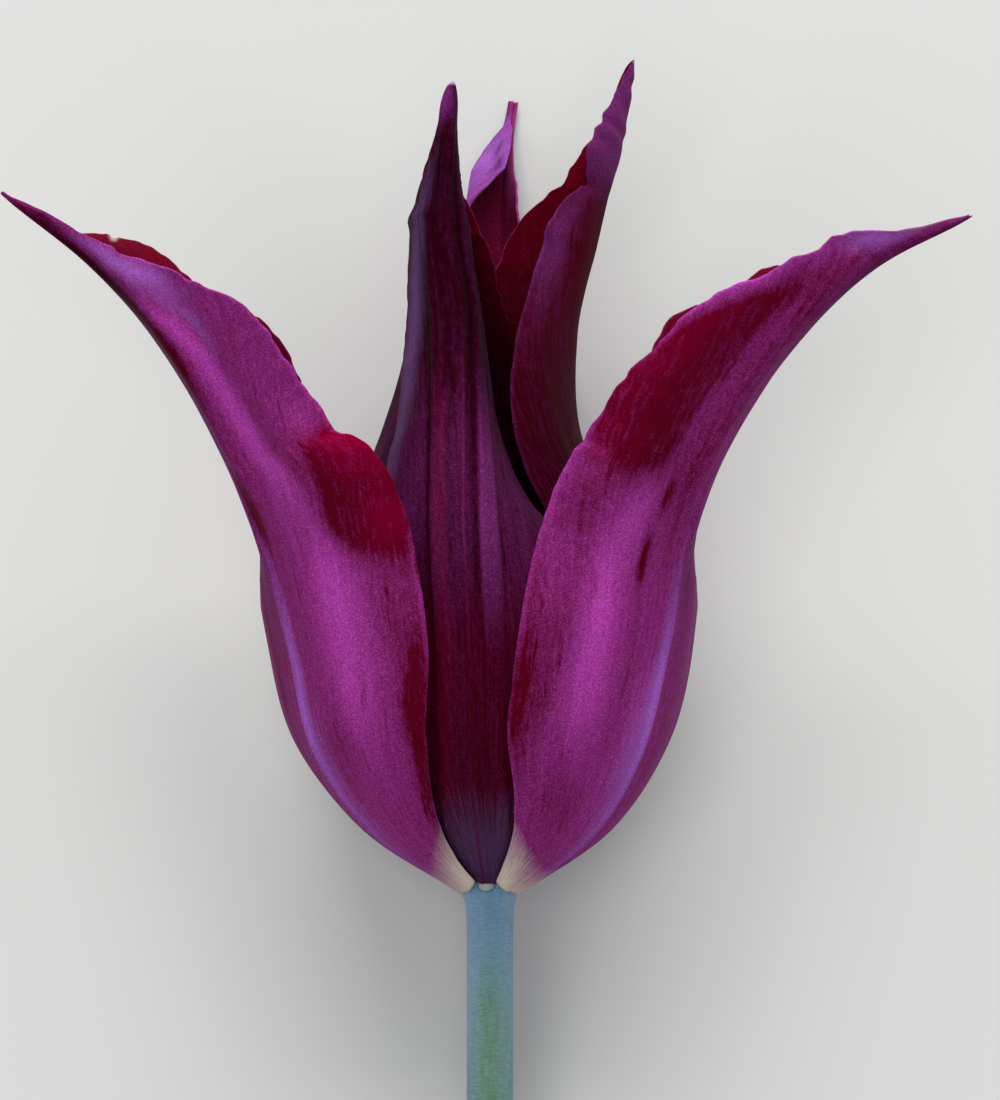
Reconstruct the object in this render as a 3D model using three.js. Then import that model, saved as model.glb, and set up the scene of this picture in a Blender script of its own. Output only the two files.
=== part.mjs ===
import * as THREE from 'three';

// A cut tulip with one lily-shaped flower and no leaves, in millimetres.
// Each piece is worked out as it stood while growing: the base of the flower is at 0, 0, 0, the stem
// runs down -Z, the tips point to +Z and the viewer stands at -Y. lay() then turns every point onto
// the surface that the cut flower lies on, which is Z = 0.

// Driving dimensions.
const STEM_LENGTH = 200;
const STEM_END_RADIUS = 2.95;
const LEAN = THREE.MathUtils.degToRad(10);
const BULGE_OUT = 28;
const BULGE_UP = 41;
const PRESS = 0.5;
const GAP = 0.3;

// A petal is thickest along its midrib and thin at its margin, and its halves end this narrow.
const MIDRIB_THICKNESS = 0.7;
const MARGIN_THICKNESS = 0.35;
const FOLD_SHARE = 0.1;
const NARROWEST_HALF = 0.6;

// How finely the surfaces are divided.
const PETAL_ROWS = 24;
const HALF_COLUMNS = [0, 0.1, 0.25, 0.45, 0.65, 0.84, 1];
const STEM_SIDES = 18;
const STAMEN_SIDES = 8;
const PISTIL_SIDES = 24;

// The surface lies behind the standing flower: it touches the bulge of the back petal, which is
// pressed flat by PRESS, and it comes closer to the axis by the tangent of LEAN towards the cut end.
const SURFACE_AT_BASE = BULGE_OUT - PRESS - BULGE_UP * Math.tan(LEAN);

function lay(point) {
  const { x, y, z } = point;
  return new THREE.Vector3(
    x,
    y * Math.sin(LEAN) + z * Math.cos(LEAN),
    (SURFACE_AT_BASE - y) * Math.cos(LEAN) + z * Math.sin(LEAN),
  );
}

// The value at u, from 0 to 1, of a smooth curve through evenly spaced stations.
function along(stations, u) {
  const last = stations.length - 1;
  const start = Math.min(Math.floor(u * last), last - 1);
  const t = u * last - start;
  const here = stations[start];
  const next = stations[start + 1];
  const before = start > 0 ? stations[start - 1] : 2 * here - next;
  const after = start + 2 <= last ? stations[start + 2] : 2 * next - here;
  const leave = (next - before) / 2;
  const arrive = (after - here) / 2;
  const rise = next - here;
  return here + t * (leave + t * (3 * rise - 2 * leave - arrive + t * (leave + arrive - 2 * rise)));
}

function geometryFrom(points, triangles) {
  const geometry = new THREE.BufferGeometry().setFromPoints(points);
  geometry.setIndex(triangles.flat());
  geometry.computeVertexNormals();
  return geometry;
}

// A closed sheet between an outer and an inner grid of points, both as rows of equal length.
function sheetSolid(outer, inner) {
  const rows = outer.length;
  const columns = outer[0].length;
  const points = [...outer.flat(), ...inner.flat()];
  const outerAt = (i, j) => i * columns + j;
  const innerAt = (i, j) => rows * columns + i * columns + j;
  const triangles = [];
  for (let i = 0; i + 1 < rows; i += 1) {
    for (let j = 0; j + 1 < columns; j += 1) {
      triangles.push([outerAt(i, j), outerAt(i, j + 1), outerAt(i + 1, j + 1)]);
      triangles.push([outerAt(i, j), outerAt(i + 1, j + 1), outerAt(i + 1, j)]);
      triangles.push([innerAt(i, j), innerAt(i + 1, j + 1), innerAt(i, j + 1)]);
      triangles.push([innerAt(i, j), innerAt(i + 1, j), innerAt(i + 1, j + 1)]);
    }
  }
  const border = [];
  for (let j = 0; j + 1 < columns; j += 1) border.push([0, j]);
  for (let i = 0; i + 1 < rows; i += 1) border.push([i, columns - 1]);
  for (let j = columns - 1; j > 0; j -= 1) border.push([rows - 1, j]);
  for (let i = rows - 1; i > 0; i -= 1) border.push([i, 0]);
  border.forEach((here, k) => {
    const next = border[(k + 1) % border.length];
    triangles.push([outerAt(...here), innerAt(...here), innerAt(...next)]);
    triangles.push([outerAt(...here), innerAt(...next), outerAt(...next)]);
  });
  return geometryFrom(points, triangles);
}

// A closed body through rings of points, all counted the same way round, with flat ends.
function ringSolid(rings) {
  const sides = rings[0].length;
  const middle = (ring) => ring.reduce((sum, p) => sum.add(p), new THREE.Vector3()).divideScalar(sides);
  const points = [...rings.flat(), middle(rings[0]), middle(rings.at(-1))];
  const first = rings.length * sides;
  const lastRing = (rings.length - 1) * sides;
  const triangles = [];
  for (let i = 0; i < sides; i += 1) {
    const next = (i + 1) % sides;
    for (let ring = 0; ring < lastRing; ring += sides) {
      triangles.push([ring + i, ring + next, ring + sides + next]);
      triangles.push([ring + i, ring + sides + next, ring + sides + i]);
    }
    triangles.push([first, next, i]);
    triangles.push([first + 1, lastRing + i, lastRing + next]);
  }
  return geometryFrom(points, triangles);
}

// Directions of a piece that stands at an angle around the axis, counted from +X towards +Y.
function compass(degrees) {
  const angle = THREE.MathUtils.degToRad(degrees);
  return {
    outward: new THREE.Vector3(Math.cos(angle), Math.sin(angle), 0),
    sideways: new THREE.Vector3(-Math.sin(angle), Math.cos(angle), 0),
  };
}

// The midrib of a petal: its distance from the axis, its height, and how far it leans to one side.
function midribPoint(petal, u) {
  const { outward, sideways } = compass(petal.around);
  return new THREE.Vector3(0, 0, along(petal.up, u))
    .addScaledVector(outward, along(petal.out, u))
    .addScaledVector(sideways, along(petal.side, u));
}

// The directions of a petal at u: along the midrib, across it, and out of the flower. The twist
// turns the last two about the first.
function petalFrame(petal, u) {
  const step = 0.01;
  const ahead = midribPoint(petal, Math.min(u + step, 1));
  const tangent = ahead.sub(midribPoint(petal, Math.max(u - step, 0))).normalize();
  const { sideways } = compass(petal.around);
  const across = sideways.addScaledVector(tangent, -sideways.dot(tangent)).normalize();
  const twist = THREE.MathUtils.degToRad(along(petal.twist, u));
  across.applyAxisAngle(tangent, -twist);
  return { across, outOf: new THREE.Vector3().crossVectors(across, tangent) };
}

// Across one half of a petal the surface turns inwards by an angle that grows with x, the share of
// the way from the midrib to the margin: fold is the turn in the crease at the midrib, and bend is
// spread over the whole width. Adding up cos and sin of the angle gives how far the surface has
// come across and inwards.
function halfSection(fold, bend, width, x) {
  const steps = 40;
  let across = 0;
  let inward = 0;
  for (let k = 0; k < steps; k += 1) {
    const share = ((k + 0.5) / steps) * x;
    const crease = 1 - Math.exp(-((share / FOLD_SHARE) ** 2));
    const angle = THREE.MathUtils.degToRad(fold * crease + bend * share);
    across += (Math.cos(angle) * width * x) / steps;
    inward += (Math.sin(angle) * width * x) / steps;
  }
  return { across, inward };
}

const UNCHANGED = [[0, 0]];

// A value that follows straight lines between [u, value] places and is level beyond the end ones.
function between(places, u) {
  const next = places.findIndex(([at]) => at > u);
  if (next === -1) return places.at(-1)[1];
  if (next === 0) return places[0][1];
  const [fromPlace, fromValue] = places[next - 1];
  const [toPlace, toValue] = places[next];
  return THREE.MathUtils.mapLinear(u, fromPlace, toPlace, fromValue, toValue);
}

// A point of the petal's middle surface: v runs from -1, the left margin seen from outside, to 1.
// turn, roll and trim are added to fold, bend and width where a half has them.
function petalPoint(petal, u, v) {
  const half = v < 0 ? petal.left : petal.right;
  const { across, outOf } = petalFrame(petal, u);
  const fold = along(half.fold, u) + between(half.turn ?? UNCHANGED, u);
  const bend = along(half.bend, u) + between(half.roll ?? UNCHANGED, u);
  const width = Math.max(along(half.width, u) + between(half.trim ?? UNCHANGED, u), NARROWEST_HALF);
  const section = halfSection(fold, bend, width, Math.abs(v));
  return midribPoint(petal, u)
    .addScaledVector(across, Math.sign(v) * section.across)
    .addScaledVector(outOf, -section.inward);
}

function petalNormal(petal, u, v) {
  const step = 0.01;
  const uFrom = Math.max(u - step, 0);
  const uTo = Math.min(u + step, 1);
  const vFrom = Math.max(v - step, -1);
  const vTo = Math.min(v + step, 1);
  const alongU = petalPoint(petal, uTo, v).sub(petalPoint(petal, uFrom, v));
  const alongV = petalPoint(petal, u, vTo).sub(petalPoint(petal, u, vFrom));
  return alongV.cross(alongU).normalize();
}

function petalSolid(petal) {
  const columns = [...HALF_COLUMNS.slice(1).reverse().map((x) => -x), ...HALF_COLUMNS];
  const outer = [];
  const inner = [];
  for (let i = 0; i <= PETAL_ROWS; i += 1) {
    const u = i / PETAL_ROWS;
    const outerRow = [];
    const innerRow = [];
    for (const v of columns) {
      const thickness = THREE.MathUtils.lerp(MIDRIB_THICKNESS, MARGIN_THICKNESS, v * v);
      const point = petalPoint(petal, u, v);
      const normal = petalNormal(petal, u, v);
      const outside = lay(point.clone().addScaledVector(normal, thickness / 2));
      const inside = lay(point.addScaledVector(normal, -thickness / 2));
      outside.z = Math.max(outside.z, 0);
      inside.z = Math.max(inside.z, thickness);
      outerRow.push(outside);
      innerRow.push(inside);
    }
    outer.push(outerRow);
    inner.push(innerRow);
  }
  return sheetSolid(outer, inner);
}

// The stem with the receptacle that grew on its top, as stations from below upwards. The axis
// curves towards the viewer, by a drop that brings the underside of the cut end to the surface.
const RECEPTACLE = [
  { up: -10, radius: 2.8 },
  { up: -4, radius: 2.85 },
  { up: -2, radius: 3.1 },
  { up: -0.9, radius: 3.7 },
  { up: 0.7, radius: 3.7 },
  { up: 1.1, radius: 3.4 },
  { up: 2.3, radius: 3.4 },
  { up: 2.9, radius: 3 },
];
const RECEPTACLE_TOP = RECEPTACLE.at(-1).up;
const STEM_SPANS = 14;
const CUT_SLANT = 0.35;
const STEM_DROP = STEM_LENGTH * Math.tan(LEAN) - SURFACE_AT_BASE + STEM_END_RADIUS / Math.cos(LEAN);

// A ring round the stem's axis; slant tips it towards the viewer's side, as a cut does.
function stemRing(up, radius, slant) {
  const centre = new THREE.Vector3(0, -STEM_DROP * (up / STEM_LENGTH) ** 2, up);
  const slope = (-2 * STEM_DROP * up) / STEM_LENGTH ** 2;
  const tangent = new THREE.Vector3(0, slope, 1).normalize();
  const right = new THREE.Vector3(1, 0, 0);
  const back = new THREE.Vector3().crossVectors(tangent, right);
  const ring = [];
  for (let i = 0; i < STEM_SIDES; i += 1) {
    const angle = (2 * Math.PI * i) / STEM_SIDES;
    const point = centre.clone()
      .addScaledVector(right, radius * Math.cos(angle))
      .addScaledVector(back, radius * Math.sin(angle))
      .addScaledVector(tangent, slant * radius * Math.sin(angle));
    ring.push(lay(point));
  }
  return ring;
}

function stemSolid() {
  const rings = [];
  for (let k = 0; k < STEM_SPANS; k += 1) {
    const share = k / STEM_SPANS;
    const up = THREE.MathUtils.lerp(-STEM_LENGTH, RECEPTACLE[0].up, share);
    const radius = THREE.MathUtils.lerp(STEM_END_RADIUS, RECEPTACLE[0].radius, share);
    rings.push(stemRing(up, radius, k === 0 ? CUT_SLANT : 0));
  }
  for (const { up, radius } of RECEPTACLE) rings.push(stemRing(up, radius, 0));
  return ringSolid(rings);
}

// A stamen: a stalk that thins upwards to a point, on which the long anther stands. Each station
// has its place out and up, and its half width and half depth.
const STAMEN = [
  { out: 2.3, up: RECEPTACLE_TOP + GAP, wide: 0.75, deep: 0.5 },
  { out: 3.3, up: 6, wide: 0.85, deep: 0.5 },
  { out: 4.7, up: 10, wide: 0.7, deep: 0.5 },
  { out: 5.7, up: 14, wide: 0.5, deep: 0.45 },
  { out: 6.1, up: 15.6, wide: 0.35, deep: 0.35 },
  { out: 6.3, up: 16.4, wide: 1.2, deep: 0.9 },
  { out: 6.7, up: 18, wide: 1.6, deep: 1.2 },
  { out: 7.5, up: 23, wide: 1.6, deep: 1.2 },
  { out: 8.2, up: 29, wide: 1.3, deep: 1 },
  { out: 8.5, up: 32.5, wide: 0.6, deep: 0.5 },
];

function stamenSolid(around) {
  const { outward, sideways } = compass(around);
  const ringAt = ({ out, up, wide, deep }) => {
    const ring = [];
    for (let i = 0; i < STAMEN_SIDES; i += 1) {
      const angle = (2 * Math.PI * i) / STAMEN_SIDES;
      const point = new THREE.Vector3(0, 0, up)
        .addScaledVector(outward, out + deep * Math.cos(angle))
        .addScaledVector(sideways, wide * Math.sin(angle));
      ring.push(lay(point));
    }
    return ring;
  };
  return ringSolid(STAMEN.map(ringAt));
}

// The pistil: a three-sided ovary with a three-lobed stigma on top. lobes is how far its three
// ridges stand out, as a share of the radius.
const PISTIL = [
  { up: RECEPTACLE_TOP + GAP, radius: 1.1, lobes: 0 },
  { up: 4.5, radius: 1.7, lobes: 0.04 },
  { up: 8, radius: 2.8, lobes: 0.08 },
  { up: 13, radius: 3.3, lobes: 0.1 },
  { up: 20, radius: 3.3, lobes: 0.1 },
  { up: 25.5, radius: 2.8, lobes: 0.12 },
  { up: 28, radius: 2.4, lobes: 0.2 },
  { up: 30, radius: 2.9, lobes: 0.35 },
  { up: 31.5, radius: 3.2, lobes: 0.4 },
  { up: 32.6, radius: 2.6, lobes: 0.4 },
  { up: 32.8, radius: 1.2, lobes: 0.3 },
];

function pistilSolid() {
  const ringAt = ({ up, radius, lobes }) => {
    const ring = [];
    for (let i = 0; i < PISTIL_SIDES; i += 1) {
      const angle = (2 * Math.PI * i) / PISTIL_SIDES;
      const reach = radius * (1 + lobes * Math.cos(3 * angle));
      ring.push(lay(new THREE.Vector3(reach * Math.cos(angle), reach * Math.sin(angle), up)));
    }
    return ring;
  };
  return ringSolid(PISTIL.map(ringAt));
}

// The six petals. All stations are evenly spaced from the base to the tip: the midrib's distance
// out, height up and lean to the side, the twist in degrees, and for each half, as seen from
// outside the flower, its width and the two turns of its section in degrees. trim, turn and roll
// hold what single places of a half add to its width and to the two turns.
const LEVEL = [0, 0];

const OUTER_LEFT = {
  around: -155,
  out: [4.1, 14.8, 22.6, 25.8, 29.2, 35, 42.6, 51.8, 62.6],
  up: [0.3, 6.8, 17, 29, 40.8, 53, 64.8, 74.35, 82.3],
  side: LEVEL,
  twist: LEVEL,
  left: {
    width: [3.2, 10.5, 17, 21, 21, 17, 12.5, 5.5, 0.8],
    fold: [0, -2, -4, -4, 8, 55, 58, 48, 45],
    bend: [42, 42, 46, 48, 42, 25, 15, 20, 30],
    turn: [[0.42, 0], [0.455, 3], [0.49, 9], [0.52, 9], [0.56, 0]],
    trim: [
      [0.58, 0], [0.6, 0.8], [0.65, 2.3], [0.7, 2.5], [0.725, 0.4], [0.78, 0.7], [0.82, 2], [0.855, 1.1],
      [0.875, 0.3], [0.9, -1.5], [0.95, -1.2], [1, -0.9],
    ],
  },
  right: {
    width: [3.2, 10.8, 18, 21.7, 21.7, 18.2, 12.7, 4.6, 0.8],
    fold: [0, 0, 0, 0, 3, 8, 20, 35, 40],
    bend: [42, 40, 45, 48, 48, 38, 22, 20, 30],
    trim: [
      [0.2, 0], [0.3, 0.5], [0.45, 0.6], [0.5, 1.3], [0.55, 2.1], [0.575, 2.2], [0.6, -0.9], [0.625, -1],
      [0.675, 0], [0.75, 1.8], [0.8, 0], [0.85, -1.1], [0.95, -0.8], [1, -0.9],
    ],
  },
};

const OUTER_RIGHT = {
  around: -33,
  out: [4.1, 14.2, 21, 24.6, 27.2, 32.7, 41.2, 52.7, 66],
  up: [0.3, 6.8, 17, 29, 40.8, 52.6, 63.8, 73.3, 79.2],
  side: LEVEL,
  twist: LEVEL,
  left: {
    width: [3.2, 12, 20, 21.5, 19.8, 17.5, 14.3, 5.2, 0.8],
    fold: [0, 0, 0, 0, 3, 8, 20, 35, 40],
    bend: [42, 44, 50, 50, 47, 38, 22, 20, 30],
    trim: [
      [0.05, 0], [0.12, 0.8], [0.22, 0], [0.3, -0.8], [0.45, 0.3], [0.55, 1.2], [0.6, 1.2], [0.7, -0.1],
      [0.8, -0.7], [0.875, 1], [0.925, -0.6], [1, -0.7],
    ],
  },
  right: {
    width: [3.2, 10.5, 17, 21, 21, 17, 13, 6, 0.8],
    fold: [0, -2, -2, 3, 14, 66, 54, 46, 45],
    bend: [42, 42, 48, 48, 42, 25, 15, 20, 30],
    turn: [[0.42, 0], [0.455, 3], [0.49, 10], [0.52, 10], [0.56, 0]],
    trim: [
      [0.6, 0], [0.64, 2.4], [0.68, 5], [0.7, 4.4], [0.715, 2], [0.76, 4.2], [0.8, 0], [0.9, -1.4],
      [0.95, -1.6], [1, -0.6],
    ],
  },
};

// The back petal lies on the surface, so it is nearly straight from its bulge up.
const OUTER_UNDER = {
  around: 88,
  out: [4.1, 14.5, 22, 25.6, BULGE_OUT, 29.6, 31.8, 34.2, 36.5],
  up: [0.3, 6.8, 17, 29, BULGE_UP, 55, 69, 83, 96.5],
  side: [0, 0, 0, 0, 0, 0, -0.3, 0.1, -1.4],
  twist: LEVEL,
  left: {
    width: [3.2, 10.5, 17.5, 21, 20, 15, 9.5, 3.8, 0.6],
    fold: [0, 0, 0, 0, 4, 30, 40, 45, 45],
    bend: [42, 40, 46, 48, 46, 42, 25, 20, 30],
    trim: [[0.9, 0], [0.93, -0.7], [1, -0.3]],
  },
  right: {
    width: [3.2, 10.5, 17.5, 21, 20, 15, 10.5, 9.5, 0.6],
    fold: [0, 0, 0, 0, 4, 30, 40, 35, 30],
    bend: [42, 40, 46, 48, 46, 42, 45, 50, 100],
    trim: [[0.846, 0], [0.866, -2.4], [0.886, 0.7], [0.908, 3.2], [0.93, 2.4], [0.955, 0.9], [0.98, -0.8]],
    turn: [[0.841, 0], [0.866, -35], [1, -30]],
    roll: [[0.846, 0], [0.866, 71], [0.886, 109], [0.908, 131], [0.955, 128], [0.98, 160]],
  },
};

const INNER_TOP = {
  around: -94,
  out: [3.9, 12.6, 19.4, 22.8, 23.4, 20, 15.5, 13, 12.5],
  up: [1.7, 8.4, 18, 30, 43, 55.5, 68, 81, 96],
  side: [0, 0, 0, 0, -1, -2.1, -2.5, -4, -3.5],
  twist: [0, 0, 0, 0, -5, -10, -12, -12, -12],
  left: {
    width: [3, 9.2, 14.5, 17.5, 17, 14, 11, 7.8, 1],
    fold: [0, 0, 2, 5, 14, 38, 46, 46, 30],
    bend: [42, 42, 46, 46, 46, 46, 42, 36, 20],
    trim: [[0.86, 0], [0.875, 0.3], [0.9, -1.4], [0.94, -1.8], [0.98, -0.5]],
    turn: [[0.66, 0], [0.72, -6], [0.8, -6], [0.86, 0]],
  },
  right: {
    width: [3, 9.2, 14.5, 17.5, 17, 14, 10.5, 8, 0.8],
    fold: [0, 0, 2, 8, 25, 42, 50, 50, 30],
    bend: [42, 42, 46, 46, 46, 46, 42, 36, 20],
    trim: [[0.87, 0], [0.92, -1.6], [0.96, -1.3], [0.98, -0.5]],
    turn: [[0.54, 0], [0.62, -5], [0.7, -4], [0.78, 0], [0.86, 0], [0.9, 12], [1, 15]],
  },
};

const INNER_RIGHT = {
  around: 27.5,
  out: [3.9, 12.6, 19, 22.2, 20.8, 11.8, 11, 14.2, 17.6, 19.7],
  up: [1.7, 8.4, 18, 30, 42.5, 53, 66, 78.5, 90, 100],
  side: LEVEL,
  twist: LEVEL,
  left: {
    width: [3, 9.2, 14.5, 18, 19, 18, 14.5, 11, 4.5, 0.8],
    fold: [0, 0, 2, 5, 12, 25, 35, 40, 40, 40],
    bend: [42, 42, 46, 46, 44, 50, 50, 45, 30, 30],
    trim: [
      [0.5, 0], [0.6, 0.7], [0.65, -0.5], [0.7, -1.5], [0.75, -0.7], [0.8, -0.6], [0.82, -3.5], [0.84, -0.4],
      [0.862, 2.5], [0.91, 2.8], [0.94, 1.7], [1, 0],
    ],
  },
  right: {
    width: [3, 9.2, 14.5, 17.5, 17, 16, 14, 11, 4, 0.8],
    fold: [0, 0, 2, 5, 8, 10, 15, 20, 30, 40],
    bend: [42, 42, 46, 44, 40, 35, 35, 35, 30, 30],
    trim: [[0.75, 0], [0.825, -1.6], [0.875, -0.5], [0.925, -0.2], [1, 0]],
  },
};

const INNER_LEFT = {
  around: 146.5,
  out: [3.9, 12.6, 19.4, 22.8, 22, 15.5, 11.3, 9, 7.5],
  up: [1.7, 8.4, 18, 30, 42, 53, 65, 77, 89],
  side: LEVEL,
  twist: LEVEL,
  left: {
    width: [3, 9.2, 14.5, 18, 18, 17, 14.5, 9, 0.8],
    fold: [0, 0, 2, 5, 14, 28, 34, 38, 40],
    bend: [42, 42, 46, 46, 48, 48, 42, 40, 30],
    trim: [[0.7, 0], [0.79, -1.1], [0.82, -1.4], [0.88, -0.5], [0.94, -1], [0.97, 0]],
  },
  right: {
    width: [3, 9.2, 14.5, 17.5, 17, 14.5, 12, 8, 0.8],
    fold: [0, 0, 2, 5, 14, 35, 45, 45, 40],
    bend: [42, 42, 46, 46, 46, 50, 50, 45, 30],
  },
};

function petalMaterial(colour) {
  return new THREE.MeshStandardMaterial({ color: colour, roughness: 0.55, metalness: 0 });
}

const flower = new THREE.Group();

function addPiece(name, geometry, material) {
  const mesh = new THREE.Mesh(geometry, material);
  mesh.name = name;
  flower.add(mesh);
}

const stemMaterial = new THREE.MeshStandardMaterial({ color: '#8ba396', roughness: 0.6, metalness: 0 });
const pistilMaterial = new THREE.MeshStandardMaterial({ color: '#b7bd86', roughness: 0.5, metalness: 0 });
addPiece('stem', stemSolid(), stemMaterial);
addPiece('outer_petal_left', petalSolid(OUTER_LEFT), petalMaterial('#7c1f5c'));
addPiece('outer_petal_right', petalSolid(OUTER_RIGHT), petalMaterial('#7c1f5c'));
addPiece('outer_petal_under', petalSolid(OUTER_UNDER), petalMaterial('#7c1f5c'));
addPiece('inner_petal_top', petalSolid(INNER_TOP), petalMaterial('#4a1238'));
addPiece('inner_petal_right', petalSolid(INNER_RIGHT), petalMaterial('#651240'));
addPiece('inner_petal_left', petalSolid(INNER_LEFT), petalMaterial('#651240'));
addPiece('pistil', pistilSolid(), pistilMaterial);

// The stamens stand one in front of each petal.
const STAMEN_COUNT = 6;
for (let k = 0; k < STAMEN_COUNT; k += 1) {
  const material = new THREE.MeshStandardMaterial({ color: '#33203c', roughness: 0.9, metalness: 0 });
  addPiece(`stamen_${k + 1}`, stamenSolid(-94 + (360 * k) / STAMEN_COUNT), material);
}

// The part's origin is the middle of its footprint, on the surface.
const box = new THREE.Box3().setFromObject(flower, true);
const centre = box.getCenter(new THREE.Vector3());
flower.position.set(-centre.x, -centre.y, -box.min.z);

const tulip = new THREE.Group();
tulip.add(flower);

export default tulip;
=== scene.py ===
import math
import bpy
import numpy as np
from mathutils import Matrix, Vector


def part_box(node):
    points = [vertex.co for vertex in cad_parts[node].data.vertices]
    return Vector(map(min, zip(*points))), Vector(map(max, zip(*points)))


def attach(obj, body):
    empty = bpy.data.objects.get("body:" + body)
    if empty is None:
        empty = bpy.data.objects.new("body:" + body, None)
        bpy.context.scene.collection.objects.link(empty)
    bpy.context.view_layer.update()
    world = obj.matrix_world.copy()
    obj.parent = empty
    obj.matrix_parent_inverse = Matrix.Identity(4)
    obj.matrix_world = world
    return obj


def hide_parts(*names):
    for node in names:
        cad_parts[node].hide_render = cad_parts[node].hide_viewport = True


# A cut tulip with one lily-shaped flower, lying on its back. Every piece is worked out in
# millimetres as it stood while growing: the base of the flower at 0, 0, 0, the stem down -Z, the
# tips towards +Z and the viewer at -Y. laid() then brings it to its place on the floor, in metres.
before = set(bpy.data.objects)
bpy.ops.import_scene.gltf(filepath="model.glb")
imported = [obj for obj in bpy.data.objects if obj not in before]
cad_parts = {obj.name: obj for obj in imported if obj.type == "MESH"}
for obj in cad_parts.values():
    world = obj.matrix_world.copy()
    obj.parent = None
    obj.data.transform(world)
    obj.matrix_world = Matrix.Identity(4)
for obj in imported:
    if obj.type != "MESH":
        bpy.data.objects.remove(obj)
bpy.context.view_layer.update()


# Outer petals
# Three petals of fleshy living tissue, half a millimetre thick, that grew from the rim of the
# receptacle. Two flare wide and are folded along their keels. The third lies under the flower.

# The axis rises by LEAN from the floor towards the tips. The flower rests on the third petal's
# bulge, pressed flat by PRESS, and that gives the y of the floor below the flower's base.
LEAN = math.radians(10)
BULGE_OUT = 28.0
BULGE_UP = 41.0
PRESS = 0.5
SURFACE_AT_BASE = BULGE_OUT - PRESS - BULGE_UP * math.tan(LEAN)

# The pistil's foot is a round ring, so its nearest point gives the place of the flower's base.
PISTIL_FOOT_UP = 3.2
PISTIL_FOOT_RADIUS = 1.1

# One millimetre in the frame's metres.
MM = 0.001

MIDRIB_THICKNESS = 0.7
MARGIN_THICKNESS = 0.35
TIP_THINNING = 0.6
THINNING_START = 0.85
SMALLEST_HALF_WIDTH = 0.12
ROUNDED_TIP = 0.025
ROUNDED_MARGIN = 0.05
THINNEST_MARGIN = 0.02
CLOSED_TIP = 0.02
THINNEST_TIP = 0.05
FOLD_SHARE = 0.1
FOOT_SCALLOP = 0.6
SCALLOP_END = 0.06
VEINS_ACROSS = 20.0
VEIN_SPREAD = 1.6
PETAL_ROWS = 270
HALF_COLUMNS = 60
COLUMN_CROWDING = 0.6
LEVEL = [0, 0]
UNCHANGED = [(0, 0)]

# How unevenly a petal grew: the length, width and height of a bump, in millimetres. Rim waves are
# counted across the petal, and teeth along its margin. Both fade in along the petal's length.
FINE_VEINS = (30, 1.1, 0.05)
BROAD_VEINS = (45, 3.2, 0.12)
PUCKERS = (7, 5, 0.06)
RIM_WAVE_LENGTH, RIM_WAVES_ACROSS, RIM_WAVE_HEIGHT = 9, 2.5, 0.45
WAVES_START, WAVES_FADE_IN = 0.3, 0.2
FINE_TEETH = (110, 0.26)
COARSE_TEETH = (42, 0.34)
TEETH_START, TEETH_FADE_IN = 0.45, 0.15
FULL_TEETH_WIDTH = 5


def lay_down(points):
    """Standing millimetres to lying ones: y' = y sin L + z cos L and z' = (S - y) cos L + z sin L."""
    x, y, z = np.moveaxis(points, -1, 0)
    along_floor = y * math.sin(LEAN) + z * math.cos(LEAN)
    above_floor = (SURFACE_AT_BASE - y) * math.cos(LEAN) + z * math.sin(LEAN)
    return np.stack([x, along_floor, above_floor], -1)


stem_low, stem_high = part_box("stem")
foot = lay_down(np.array([0, -PISTIL_FOOT_RADIUS, PISTIL_FOOT_UP])) * MM
PLACE = np.array([(stem_low[0] + stem_high[0]) / 2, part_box("pistil")[0][1] - foot[1], 0])


def laid(points):
    """Standing millimetres to metres in the frame: laid down, times 0.001, plus the base's place."""
    return lay_down(points) * MM + PLACE


def along(stations, u):
    """The value at u, 0 to 1, of a Catmull-Rom curve through evenly spaced stations: in each span a
    cubic whose end slopes are half the difference of the stations on both sides."""
    values = np.asarray(stations, float)
    last = len(values) - 1
    start = np.minimum((u * last).astype(int), last - 1)
    t = u * last - start
    ends = [2 * values[0] - values[1]], [2 * values[-1] - values[-2]]
    values = np.concatenate([ends[0], values, ends[1]])
    before, here, after, beyond = (values[start + k] for k in range(4))
    leave = (after - before) / 2
    arrive = (beyond - here) / 2
    rise = after - here
    return here + t * (leave + t * (3 * rise - 2 * leave - arrive + t * (leave + arrive - 2 * rise)))


def unit(vectors):
    """Each vector divided by its own length."""
    return vectors / np.maximum(np.linalg.norm(vectors, axis=-1, keepdims=True), 1e-9)


def ripples(rng, x, y):
    """Smooth random heights from -1 to 1, one bump per unit of x and y: random numbers on a lattice,
    blended between neighbours by 3t^2 - 2t^3."""
    x = x - x.min()
    y = y - y.min()
    lattice = rng.uniform(-1, 1, (int(x.max()) + 2, int(y.max()) + 2))
    i = x.astype(int)
    j = y.astype(int)
    s = (x - i) ** 2 * (3 - 2 * (x - i))
    t = (y - j) ** 2 * (3 - 2 * (y - j))
    near = lattice[i, j] * (1 - t) + lattice[i, j + 1] * t
    far = lattice[i + 1, j] * (1 - t) + lattice[i + 1, j + 1] * t
    return near * (1 - s) + far * s


def between(places, u):
    """Straight lines between (u, value) places, and level before the first and after the last."""
    at, values = zip(*places)
    return np.interp(u, at, values)


def hump(value, at, width):
    """A soft hump of height 1: exp(-((value - at) / width)^2)."""
    return np.exp(-(((value - at) / width) ** 2))


def spots(places, u, v):
    """A sum of soft spots: amount times exp(-((u - u0) / length)^2 - ((v - v0) / width)^2)."""
    total = np.zeros(np.broadcast(u, v).shape)
    for u0, v0, length, width, amount in places:
        total += amount * np.exp(-(((u - u0) / length) ** 2) - ((v - v0) / width) ** 2)
    return total


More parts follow.
